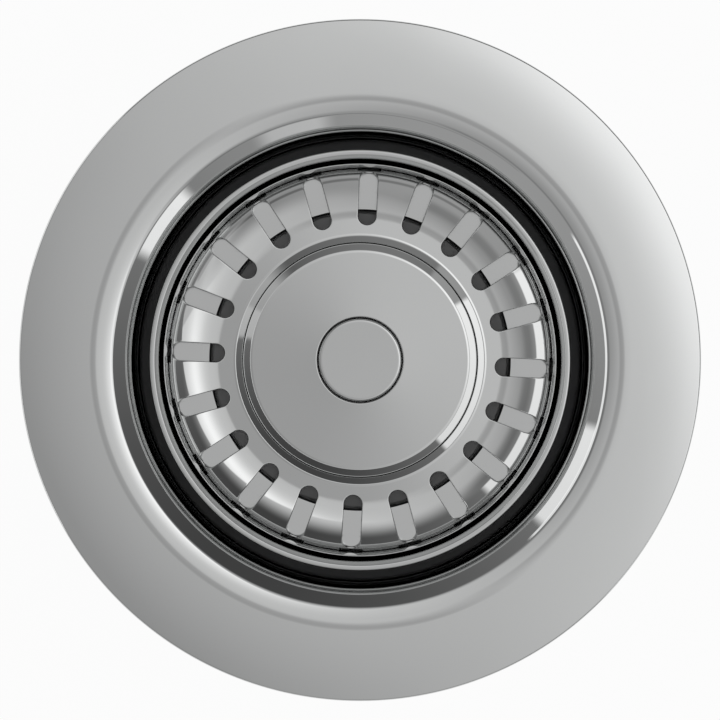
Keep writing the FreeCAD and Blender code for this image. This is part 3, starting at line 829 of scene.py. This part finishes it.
def make_strainer_body():
    chamfer, throat, lip, crest, dome, dome_start, dome_radius = flange_corners()
    flange_r = outer_r("strainer_body")
    floor_z = low_z("strainer_body") + BODY_SHEET
    ledge_z = low_z("basket_seat_ring")
    points = [
        (flange_r, FLANGE_EDGE_Z),
        (flange_r, dome.y - (flange_r - dome.x) * tangent(FLANGE_FALL_ANGLE)),
        dome,
        crest,
        lip,
        chamfer,
        throat,
        (throat.x, ledge_z),
        (WELL_R, ledge_z),
        (WELL_R, floor_z),
        (bore_r("strainer_body"), floor_z),
    ]
    radii = [0, FLANGE_EDGE_RADIUS, dome_radius, CREST_RADIUS, LIP_RADIUS, THROAT_RADIUS, THROAT_BEND]
    radii += [LEDGE_FILLET, LEDGE_BEND, WELL_FILLET, 0]
    return turned("polished_cup", sheet_outline(points, radii, BODY_SHEET))


def make_flange_gasket():
    dome_start, dome_radius = flange_corners()[-2:]
    in_r = bore_r("flange_gasket")
    out_r = outer_r("flange_gasket")
    low = low_z("flange_gasket")
    top_z = high_z("flange_gasket")
    centre_r = dome_start.x - dome_radius * sine(CREST_FALL_ANGLE)
    under = dome_radius - BODY_SHEET
    fall = math.sqrt(under**2 - (in_r - centre_r) ** 2) - math.sqrt(under**2 - (out_r - centre_r) ** 2)
    corners = [(in_r, low), (out_r, low), (out_r, top_z - fall), (in_r, top_z)]
    return turned("flange_gasket_ring", rounded(corners, [GASKET_ROUNDING] * len(corners)))


def make_thread(name, radius, depth, low, high):
    """A right-hand thread ridge from one height to another."""
    turns = (high - low) / THREAD_PITCH
    start = mesh_object(name, [], [])
    values = {
        "Turns": turns,
        "Rise": high - low,
        "Radius": radius,
        "Steps": THREAD_STEPS_PER_TURN,
        "Start Height": low,
        "Depth": depth,
        "Root Width": THREAD_ROOT_WIDTH,
        "Crest Width": THREAD_CREST_WIDTH,
        "Material": FINISHES["plated_brass"],
    }
    return grown(name, start, THREAD_TREE, values)


def make_outlet_spigot():
    bottom_z = low_z("outlet_spigot")
    top_z = high_z("outlet_spigot")
    lip_z = top_z - OUTLET_LIP_THICK
    thread_low_z = bottom_z + OUTLET_END
    gasket_z = low_z("outlet_gasket")
    in_r = bore_r("outlet_spigot")
    shoulder_r = outer_r("outlet_spigot")
    shoulder_z = gasket_z - SHOULDER_THICK
    points = [
        (in_r, bottom_z),
        (OUTLET_END_R - OUTLET_CHAMFER, bottom_z),
        (OUTLET_END_R, bottom_z + OUTLET_CHAMFER),
        (OUTLET_END_R, thread_low_z),
        (THREAD_CORE_R, thread_low_z),
        (THREAD_CORE_R, shoulder_z),
        (shoulder_r, shoulder_z),
        (shoulder_r, gasket_z),
        (OUTLET_NECK_R, gasket_z),
        (OUTLET_NECK_R, lip_z),
        (OUTLET_LIP_R, lip_z),
        (OUTLET_LIP_R, top_z),
        (in_r, top_z),
    ]
    tube = turned("outlet_tube", rounded(points, [METAL_EDGE] * len(points)))
    half_root = THREAD_ROOT_WIDTH / 2
    root_r = THREAD_CORE_R - THREAD_ROOT_SINK
    depth = THREAD_CREST_R - root_r
    ridge = make_thread("outlet_thread", root_r, depth, thread_low_z + half_root, shoulder_z - half_root)
    return joined(tube, ridge)


# Clamping parts
def make_outer_cup():
    rim_z = high_z("outer_cup")
    floor_z = low_z("outer_cup") + CUP_SHEET
    foot_r = CUP_WALL_R - (rim_z - floor_z) * tangent(CUP_WALL_ANGLE)
    points = [
        (outer_r("outer_cup"), rim_z),
        (CUP_WALL_R, rim_z),
        (foot_r, floor_z),
        (bore_r("outer_cup"), floor_z),
    ]
    return turned("clamping_cup", sheet_outline(points, [0, CUP_RIM_BEND, CUP_FILLET, 0], CUP_SHEET))


def make_nut(name, flats, bore, low, high, collar=0.0, collar_r=0.0):
    """A hexagon nut, chamfered at its ends, with an optional round collar on top."""
    corner_r = flats / 2 / cosine(180 / NUT_SIDES)
    chamfer_r = corner_r - (corner_r - flats / 2) * NUT_CHAMFER_SHARE
    turns = [360 * i / NUT_SIDES for i in range(NUT_SIDES)]
    hexagon = [(corner_r * cosine(turn), corner_r * sine(turn)) for turn in turns]
    body_high = high - collar
    corners = []
    faces = []
    outline = []
    path = rounded(hexagon, [NUT_CORNER] * NUT_SIDES)
    for a, b in zip(path, path[1:] + path[:1]):
        steps = max(1, round((b - a).length / NUT_FLAT_STEP))
        outline += [a.lerp(b, k / steps) for k in range(steps)]
    for point in outline:
        reach = point.length
        ends_r = min(reach, chamfer_r)
        drop = (reach - ends_r) * tangent(NUT_CHAMFER_ANGLE)
        section = [(bore, low), (ends_r, low), (reach, low + drop)]
        section += [(reach, body_high - drop), (ends_r, body_high)]
        if collar:
            section += [(collar_r, body_high), (collar_r, high)]
        section += [(bore, high)]
        ahead = point.normalized()
        corners += [(ahead.x * r, ahead.y * r, z) for r, z in section]
    around = len(outline)
    along = len(corners) // around
    for i in range(around):
        for j in range(along):
            quad = ((i, j), ((i + 1) % around, j), ((i + 1) % around, (j + 1) % along), (i, (j + 1) % along))
            faces.append([p * along + q for p, q in quad])
    return outward(mesh_object(name, corners, faces))


def make_back_nut():
    low = low_z("back_nut")
    high = high_z("back_nut")
    bore = THREAD_CREST_R + THREAD_GAP
    nut = make_nut("clamping_nut", BACK_NUT_FLATS, bore, low, high, BACK_NUT_COLLAR, BACK_NUT_COLLAR_R)
    half_root = THREAD_ROOT_WIDTH / 2
    spigot_low = low_z("outlet_spigot") + OUTLET_END + half_root
    # The nut's ridge starts half a pitch off the outlet's, so that it runs in the outlet's groove
    turns_up = math.ceil((low + half_root - spigot_low) / THREAD_PITCH - 0.5) + 0.5
    root_r = bore + THREAD_ROOT_SINK
    depth = THREAD_CORE_R + THREAD_GAP - root_r
    first_z = spigot_low + turns_up * THREAD_PITCH
    return joined(nut, make_thread("nut_thread", root_r, depth, first_z, high - half_root))


def make_sleeve_nut():
    node = "sleeve_nut"
    return make_nut("sleeve_hex_nut", SLEEVE_NUT_FLATS, bore_r(node), low_z(node), high_z(node))


# Basket and what stays in it
basket_floor_z = high_z("basket") - BASKET_HEIGHT
recess_z = low_z("basket") + BASKET_SHEET
recess_floor_r = outer_r("guide_sleeve") + RECESS_GAP
recess_step_r = recess_floor_r + RECESS_WALL_RUN
recess_r = recess_step_r + RECESS_BEVEL
dish_foot_r = recess_r + FLOOR_LAND

# Runs of the bowl's face, from the dish's foot up the wall: each a length and a radius, none if straight
BOWL_RUNS = [
    (DISH_RADIUS * math.radians(DISH_ANGLE), DISH_RADIUS),
    (DISH_FLAT, None),
    (WALL_BEND * math.radians(90 - WALL_ANGLE - DISH_ANGLE), WALL_BEND),
    (BASKET_HEIGHT, None),
]


def bowl_place(along):
    """Radius, height and lean of the bowl's face at a distance along it from the dish's foot."""
    if along < 0:
        fall = along * tangent(FLOOR_FALL_ANGLE)
        return dish_foot_r + along, basket_floor_z - fall, -math.radians(FLOOR_FALL_ANGLE)
    r, z, lean = dish_foot_r, basket_floor_z, 0.0
    left = along
    for length, radius in BOWL_RUNS:
        step = min(left, length)
        left -= step
        if radius:
            new_lean = lean + step / radius
            r += radius * (math.sin(new_lean) - math.sin(lean))
            z += radius * (math.cos(lean) - math.cos(new_lean))
            lean = new_lean
        else:
            r += step * math.cos(lean)
            z += step * math.sin(lean)
    return r, z, lean


def bowl_point(along, depth, turn):
    """A point of the bowl: a distance along its face, a depth under it, and a turn about Z."""
    r, z, lean = bowl_place(along)
    r += depth * math.sin(lean)
    return r * math.cos(turn), r * math.sin(turn), z - depth * math.cos(lean)


def bowl_along(r):
    """The distance along the bowl's face at a radius between its recess and its wall."""
    if r <= dish_foot_r:
        return r - dish_foot_r
    low, high = 0.0, sum(length for length, radius in BOWL_RUNS)
    for halving in range(BOWL_HALVINGS):
        middle = (low + high) / 2
        if bowl_place(middle)[0] < r:
            low = middle
        else:
            high = middle
    return middle


def wall_foot():
    """Radius and height of the corner where the dish's run would meet the wall's."""
    reach = DISH_RADIUS * tangent(DISH_ANGLE / 2)
    run = reach + DISH_FLAT + WALL_BEND * tangent((90 - WALL_ANGLE - DISH_ANGLE) / 2)
    return dish_foot_r + reach + run * cosine(DISH_ANGLE), basket_floor_z + run * sine(DISH_ANGLE)


wall_foot_r, wall_foot_z = wall_foot()
slot_in_r = recess_r + SLOT_IN_LAND
slot_out_r = wall_foot_r - SLOT_OUT_LAND


def mix(a, b, share):
    return a + (b - a) * share


def slot_and_wedge(along_in, along_out, half_turn):
    """Matching points round a slot and round its wedge, each a distance along the bowl and a turn."""
    half = SLOT_WIDTH / 2
    outer_x = slot_out_r - half
    inner_x = slot_in_r + half
    side_out = bowl_along(math.hypot(outer_x, half))
    side_in = bowl_along(math.hypot(inner_x, half))
    marks = []

    def arc(centre_x, first, last, steps, edge):
        for k in range(steps):
            share = k / steps
            angle = mix(first, last, share)
            marks.append((centre_x + half * cosine(angle), half * sine(angle), edge(share)))

    def side(first_x, last_x, y):
        for k in range(WEDGE_SIDE_STEPS):
            x = mix(first_x, last_x, k / WEDGE_SIDE_STEPS)
            marks.append((x, y, (bowl_along(math.hypot(x, y)), math.copysign(half_turn, y))))

    arc(outer_x, -45, 45, WEDGE_END_STEPS, lambda t: (along_out, mix(-half_turn, half_turn, t)))
    arc(outer_x, 45, 90, WEDGE_CORNER_STEPS, lambda t: (mix(along_out, side_out, t), half_turn))
    side(outer_x, inner_x, half)
    arc(inner_x, 90, 135, WEDGE_CORNER_STEPS, lambda t: (mix(side_in, along_in, t), half_turn))
    arc(inner_x, 135, 225, WEDGE_END_STEPS, lambda t: (along_in, mix(half_turn, -half_turn, t)))
    arc(inner_x, 225, 270, WEDGE_CORNER_STEPS, lambda t: (mix(along_in, side_in, t), -half_turn))
    side(inner_x, outer_x, -half)
    arc(outer_x, 270, 315, WEDGE_CORNER_STEPS, lambda t: (mix(side_out, along_out, t), -half_turn))
    slot = [(bowl_along(math.hypot(x, y)), math.atan2(y, x)) for x, y, edge in marks]
    return slot, [edge for x, y, edge in marks]


def slot_chain(slot, wedge):
    """The wedge's skin round a slot: from its border over the slot's edge and back under the sheet."""
    shares = [(k / WEDGE_LAYERS) ** WEDGE_LAYER_SPREAD for k in range(1, WEDGE_LAYERS + 1)]
    angles = [90 * k / SLOT_EDGE_STEPS for k in range(SLOT_EDGE_STEPS + 1)]
    rounding = [(SLOT_EDGE * (1 - sine(a)), SLOT_EDGE * (1 - cosine(a))) for a in angles]
    chain = []
    count = len(slot)
    for i, ((along, turn), (border_along, border_turn)) in enumerate(zip(slot, wedge)):
        before = slot[i - 1]
        after = slot[(i + 1) % count]
        r = math.hypot(*bowl_point(along, 0, 0)[:2])
        run = Vector((after[0] - before[0], (after[1] - before[1]) * r)).normalized()
        out_along = run.y
        out_turn = -run.x / r

        def eased(lateral, depth):
            return bowl_point(along + out_along * lateral, depth, turn + out_turn * lateral)

        def layer(share, depth):
            start_along = along + out_along * SLOT_EDGE
            start_turn = turn + out_turn * SLOT_EDGE
            layer_turn = mix(start_turn, border_turn, share)
            return bowl_point(mix(start_along, border_along, share), depth, layer_turn)

        column = [layer(share, 0) for share in reversed(shares)]
        column += [eased(lateral, depth) for lateral, depth in rounding]
        column += [eased(lateral, BASKET_SHEET - depth) for lateral, depth in reversed(rounding)]
        column += [layer(share, BASKET_SHEET) for share in shares]
        chain.append(column)
    return chain


def make_wedge():
    """One slotted wedge of the basket, from its rim to the hole in its recess."""
    half_turn = math.pi / SLOT_COUNT
    along_in = bowl_along(slot_in_r - WEDGE_MARGIN)
    along_out = bowl_along(slot_out_r) + 2 * WEDGE_MARGIN
    corners = []
    faces = []

    def add_grid(columns, wraps):
        start = len(corners)
        depth = len(columns[0])
        for column in columns:
            corners.extend(column)
        for i in range(len(columns) if wraps else len(columns) - 1):
            a = start + i * depth
            b = start + (i + 1) % len(columns) * depth
            for j in range(depth - 1):
                faces.append((a + j, b + j, b + j + 1, a + j + 1))

    def add_strip(path):
        turns = [mix(-half_turn, half_turn, k / WEDGE_END_STEPS) for k in range(WEDGE_END_STEPS + 1)]
        add_grid([[(p.x * math.cos(t), p.x * math.sin(t), p.y) for p in path] for t in turns], False)

    add_grid(slot_chain(*slot_and_wedge(along_in, along_out, half_turn)), True)
    add_strip(rim_path(along_out))
    add_strip(recess_path(along_in))
    return mesh_object("basket_wedge", corners, faces)


def face_and_back(along):
    """The bowl's two faces at a distance along it, as radius and height."""
    front = bowl_point(along, 0, 0)
    back = bowl_point(along, BASKET_SHEET, 0)
    return Vector((front[0], front[2])), Vector((back[0], back[2]))


def wall_r(z):
    """Radius of the wall's visible face at a height."""
    return wall_foot_r + (z - wall_foot_z) * tangent(WALL_ANGLE)


def rim_path(along_out):
    """From the wall over the narrow groove and the flat rim, and back under them."""
    rim_z = high_z("basket")
    edge_r = outer_r("basket")
    flat_r = edge_r - RIM_FLAT
    skirt_z = rim_z - RIM_SKIRT
    groove_r = flat_r - RIM_CHAMFER
    lip_z = rim_z - RIM_CHAMFER
    lip_r = wall_r(lip_z)
    floor_r = (groove_r + lip_r) / 2
    floor_z = lip_z - GROOVE_DEPTH
    back_z = floor_z - GROOVE_BACK_DROP
    front, back = face_and_back(along_out)
    points = [
        front,
        (lip_r, lip_z),
        (floor_r, floor_z),
        (groove_r, lip_z),
        (flat_r, rim_z),
        (edge_r, rim_z),
        (edge_r, skirt_z),
        (groove_r + GROOVE_WALL, skirt_z),
        (floor_r + GROOVE_WALL, floor_z - GROOVE_WALL),
        (wall_r(back_z) + BASKET_SHEET, back_z),
        back,
    ]
    radii = [0, GROOVE_LIP, 0, RIM_CREASE, RIM_CREASE, RIM_ROLL, SHEET_EDGE]
    radii += [RIM_CREASE, RIM_CREASE, RIM_CREASE, 0]
    return rounded(points, radii, closed=False)


def recess_path(along_in):
    bead_z = basket_floor_z + (FLOOR_LAND - RECESS_BEAD) * tangent(FLOOR_FALL_ANGLE)
    edge_z = bead_z + RECESS_BEAD * tangent(BEAD_ANGLE)
    points = [
        face_and_back(along_in)[0],
        (recess_r + RECESS_BEAD, bead_z),
        (recess_r, edge_z),
        (recess_step_r, edge_z - RECESS_BEVEL * tangent(RECESS_ANGLE)),
        (recess_floor_r, recess_z),
        (bore_r("basket"), recess_z),
    ]
    points = [Vector(p) for p in points]
    radii = [0, BEAD_EDGE, RECESS_EDGE, RECESS_STEP_EDGE, RECESS_FILLET, 0]
    back, back_radii = sheet_corners(points, radii, BASKET_SHEET)
    front_radii = [*radii[:-1], SHEET_EDGE]
    back_radii = [*back_radii[:-1], SHEET_EDGE]
    return rounded([*points, *reversed(back)], [*front_radii, *reversed(back_radii)], closed=False)


def make_basket():
    values = {
        "Count": SLOT_COUNT,
        "Start Angle": math.radians(SLOT_TURN_ANGLE),
        "Merge Distance": MERGE_DISTANCE,
        "Material": FINISHES["polished_steel"],
    }
    return grown("slotted_basket", make_wedge(), WEDGE_TREE, values)


def make_centre_plate():
    """The dished plate, trimmed upright at its edge."""
    top_z = high_z("push_button")
    disc_z = top_z - PLATE_RISE
    hole_r = bore_r("centre_plate")
    plate_r = outer_r("centre_plate")
    groove_r = plate_r - PLATE_EDGE
    groove_z = disc_z - PLATE_BEAD * tangent(BEAD_ANGLE)
    edge_z = groove_z + PLATE_EDGE * tangent(RECESS_ANGLE)
    points = [
        (plate_r, edge_z),
        (groove_r, groove_z),
        (groove_r - PLATE_BEAD, disc_z),
        (hole_r, top_z),
        (hole_r, top_z - PLATE_COLLAR_DROP),
    ]
    radii = [0, PLATE_BEND, BEAD_EDGE, PLATE_HOLE_BEND, 0]
    back, back_radii = sheet_corners(points, radii, PLATE_SHEET)
    back[0] = Vector((plate_r, edge_z - PLATE_SHEET / cosine(RECESS_ANGLE)))
    front_radii = [PLATE_EDGE_ROUNDING, *radii[1:-1], SHEET_EDGE]
    back_radii = [SHEET_EDGE, *back_radii[1:-1], SHEET_EDGE]
    outline = rounded([*points, *reversed(back)], [*front_radii, *reversed(back_radii)])
    return turned("centre_plate_disc", outline)


def make_ring_seal():
    in_r = bore_r("stem_ring_seal")
    out_r = outer_r("stem_ring_seal")
    section = (out_r - in_r) / 2
    mid_z = (low_z("stem_ring_seal") + high_z("stem_ring_seal")) / 2
    middle = Vector((in_r + section, mid_z))
    angles = [360 * k / RING_SEAL_SIDES for k in range(RING_SEAL_SIDES)]
    return turned("stem_o_ring", [middle + slope(a) * section for a in angles])


def make_return_spring():
    low = low_z("return_spring") + SPRING_WIRE / 2
    high = high_z("return_spring") - SPRING_WIRE / 2
    start = mesh_object("spring_start", [], [])
    values = {
        "Turns": float(SPRING_TURNS),
        "Rise": high - low,
        "Radius": outer_r("return_spring") - SPRING_WIRE / 2,
        "Steps": SPRING_STEPS_PER_TURN,
        "Start Height": low,
        "Wire": SPRING_WIRE,
        "Sides": SPRING_WIRE_SIDES,
        "Material": FINISHES["spring_steel"],
    }
    return grown("lift_spring", start, WIRE_TREE, values)


# Button and plug
def make_push_button():
    button_r = outer_r("push_button")
    top_z = high_z("push_button")
    low = low_z("push_button")
    under_z = top_z - BUTTON_TOP
    skirt_in_r = button_r - BUTTON_SKIRT
    socket_r = outer_r("stem") + AXIS_RADIUS
    boss_r = socket_r + BOSS_WALL
    points = [
        (0, top_z),
        (button_r, top_z),
        (button_r, low),
        (skirt_in_r, low),
        (skirt_in_r, under_z),
        (boss_r, under_z),
        (boss_r, under_z - BOSS_DROP),
        (socket_r, under_z - BOSS_DROP),
        (socket_r, under_z),
        (0, under_z),
    ]
    radii = [METAL_EDGE] * len(points)
    radii[0] = radii[-1] = 0
    radii[1] = BUTTON_EDGE
    return turned("round_button", rounded(points, radii))


def make_plug_carrier():
    top_z = high_z("plug_carrier")
    low = low_z("plug_carrier")
    seal_z = low_z("plug_seal")
    cup_r = bore_r("plug_seal")
    cup_in_r = cup_r - CARRIER_CUP_WALL
    carrier_r = outer_r("plug_carrier")
    hole_r = bore_r("plug_carrier")
    lip_r = cup_r + CARRIER_LIP
    lip_z = seal_z - CARRIER_LIP_THICK
    points = [
        (cup_in_r, top_z),
        (carrier_r, top_z),
        (carrier_r, top_z - CARRIER_DISC),
        (cup_r, top_z - CARRIER_DISC),
        (cup_r, seal_z),
        (lip_r, seal_z),
        (lip_r, lip_z),
        (cup_r, lip_z),
        (cup_r, low),
        (hole_r, low),
        (hole_r, low + CARRIER_CUP_FLOOR),
        (cup_in_r, low + CARRIER_CUP_FLOOR),
    ]
    radii = [METAL_EDGE] * len(points)
    radii[1] = radii[8] = CARRIER_EDGE
    return turned("plug_carrier_disc", rounded(points, radii))


def make_plug_seal():
    radii = [0, PLUG_SEAL_ROUNDING, PLUG_SEAL_ROUNDING, 0]
    return turned("plug_rubber", rounded(ring_corners("plug_seal"), radii))


WEDGE_TREE = round_axis_tree()
THREAD_TREE = thread_tree()
WIRE_TREE = wire_tree()

dress(make_strainer_body(), "strainer_body")
dress(make_flange_gasket(), "flange_gasket")
dress(make_ring("ledge_rubber", "basket_seat_ring", SEAT_RING_ROUNDING), "basket_seat_ring")
dress(make_ring("outlet_rubber", "outlet_gasket", GASKET_ROUNDING), "outlet_gasket")
dress(make_outlet_spigot(), "outlet_spigot")
dress(make_ring("clamp_rubber", "clamp_washer", WASHER_ROUNDING), "clamp_washer")
dress(make_ring("slip_ring", "friction_ring", METAL_EDGE), "friction_ring")
dress(make_outer_cup(), "outer_cup")
dress(make_back_nut(), "back_nut")
dress(make_basket(), "basket")
dress(make_centre_plate(), "centre_plate")
dress(make_ring("sleeve_plain_washer", "sleeve_washer", METAL_EDGE), "sleeve_washer")
dress(make_sleeve_nut(), "sleeve_nut")
dress(make_ring_seal(), "stem_ring_seal")
dress(make_return_spring(), "return_spring")
dress(make_push_button(), "push_button")
dress(make_plug_carrier(), "plug_carrier")
dress(make_plug_seal(), "plug_seal")
dress(make_ring("plug_plain_washer", "plug_washer", METAL_EDGE), "plug_washer")
dressed = {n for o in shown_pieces() for n in o.get("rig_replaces", [])}
for name, node in frame["nodes"].items():
    if name not in dressed:
        for slot in node.material_slots:
            slot.material = FINISHES[SLOT_OF[name]]


# Studio
def make_floor():
    """A pale floor that is white to the eye and in mirrors, and keeps the object's shadow."""
    sides = ((-1, -1), (1, -1), (1, 1), (-1, 1))
    corners = [(x * FLOOR_HALF, y * FLOOR_HALF, cad_low.z) for x, y in sides]
    floor = mesh_object("floor", corners, [(0, 1, 2, 3)])
    material = bpy.data.materials.new("pale floor")
    material.use_nodes = True
    tree = material.node_tree
    tree.nodes.clear()
    path = add_node(tree, "ShaderNodeLightPath").outputs
    seen = math_node(tree, "MAXIMUM", path["Is Camera Ray"], path["Is Glossy Ray"])
    seen = math_node(tree, "MAXIMUM", seen, path["Is Transmission Ray"])
    share = math_node(tree, "MULTIPLY", seen, FLOOR_GLOW)
    matt = made(tree, "ShaderNodeBsdfDiffuse", {"Color": FLOOR_COLOUR})
    glow = made(tree, "ShaderNodeEmission", {"Color": (1.0, 1.0, 1.0, 1.0), "Strength": 1.0})
    blend = made(tree, "ShaderNodeMixShader", {0: share, 1: matt, 2: glow})
    add_node(tree, "ShaderNodeOutputMaterial", {"Surface": blend})
    floor.data.materials.append(material)


def make_camera():
    """A long lens straight above, with the photograph's framing."""
    data = bpy.data.cameras.new("camera")
    camera = bpy.data.objects.new("camera", data)
    bpy.context.scene.collection.objects.link(camera)
    half_frame = outer_r("strainer_body") * PHOTO_HALF_PX / FLANGE_PX
    data.sensor_width = SENSOR_WIDTH_MM
    data.lens = SENSOR_WIDTH_MM / 2 * CAMERA_DISTANCE / half_frame
    data.clip_end = CLIP_DISTANCE
    camera.location = (0, 0, CAMERA_DISTANCE)
    bpy.context.scene.camera = camera


def make_world():
    """A dim room, a large soft window over its right side, and cards round its horizon."""
    world = bpy.data.worlds.new("studio")
    bpy.context.scene.world = world
    world.use_nodes = True
    tree = world.node_tree
    tree.nodes.clear()
    ray = add_node(tree, "ShaderNodeTexCoord").outputs["Generated"]
    split = add_node(tree, "ShaderNodeSeparateXYZ", {0: ray}).outputs
    across, up, height = split["X"], split["Y"], split["Z"]

    def plus(first, second):
        return math_node(tree, "ADD", first, second)

    def minus(first, second):
        return math_node(tree, "SUBTRACT", first, second)

    def times(first, second):
        return math_node(tree, "MULTIPLY", first, second)

    def along(angle):
        """Place along a direction in a plane over the scene."""
        flat = plus(times(across, cosine(angle)), times(up, sine(angle)))
        return math_node(tree, "DIVIDE", flat, math_node(tree, "MAXIMUM", height, LEAST_HEIGHT))

    azimuth = math_node(tree, "ARCTAN2", up, across)
    elevation = times(math_node(tree, "ARCSINE", height), math.degrees(1))
    to_window = along(WINDOW_TURN)

    # The room: darkest low on the window's side, paler towards the zenith
    facing = math_node(tree, "COSINE", minus(azimuth, math.radians(HORIZON_DARK_TURN)))
    horizon = minus(HORIZON_LEVEL, times(facing, HORIZON_SWING))
    level = math_node(tree, "MINIMUM", math_node(tree, "MAXIMUM", to_window, DOME_LOW), DOME_HIGH)
    dome = plus(times(level, DOME_GAIN), DOME_LEVEL)
    room = plus(horizon, times(minus(dome, horizon), ranged(tree, elevation, *DOME_START)))
    overhead = times(ranged(tree, to_window, *OVERHEAD_STEP), ranged(tree, elevation, *OVERHEAD_START))
    light = plus(room, overhead)

    # The window: it has a soft inner edge, two straight edges and a dimmer pane
    window = ranged(tree, to_window, *WINDOW_RISE)
    for turn, edge in WINDOW_EDGES:
        window = times(window, ranged(tree, along(turn), *edge))
    light = plus(light, times(window, ranged(tree, elevation, *WINDOW_FOOT)))

    for name, turn, half_turn, middle, half_height, soft, strength in PANELS:
        apart = math_node(tree, "WRAP", minus(azimuth, math.radians(turn)), math.pi, -math.pi)
        aside = math_node(tree, "ABSOLUTE", apart)
        above = math_node(tree, "ABSOLUTE", minus(elevation, middle))
        wide = ranged(tree, aside, math.radians(half_turn - soft), math.radians(half_turn + soft), 1.0, 0.0)
        tall = ranged(tree, above, half_height - soft, half_height + soft, 1.0, 0.0)
        panel = times(times(wide, tall), strength)
        panel.node.label = name
        light = plus(light, panel)
    sky = made(tree, "ShaderNodeBackground", {"Color": light})
    add_node(tree, "ShaderNodeOutputWorld", {"Surface": sky})


make_floor()
make_camera()
make_world()
bpy.context.scene.view_settings.view_transform = "Standard"
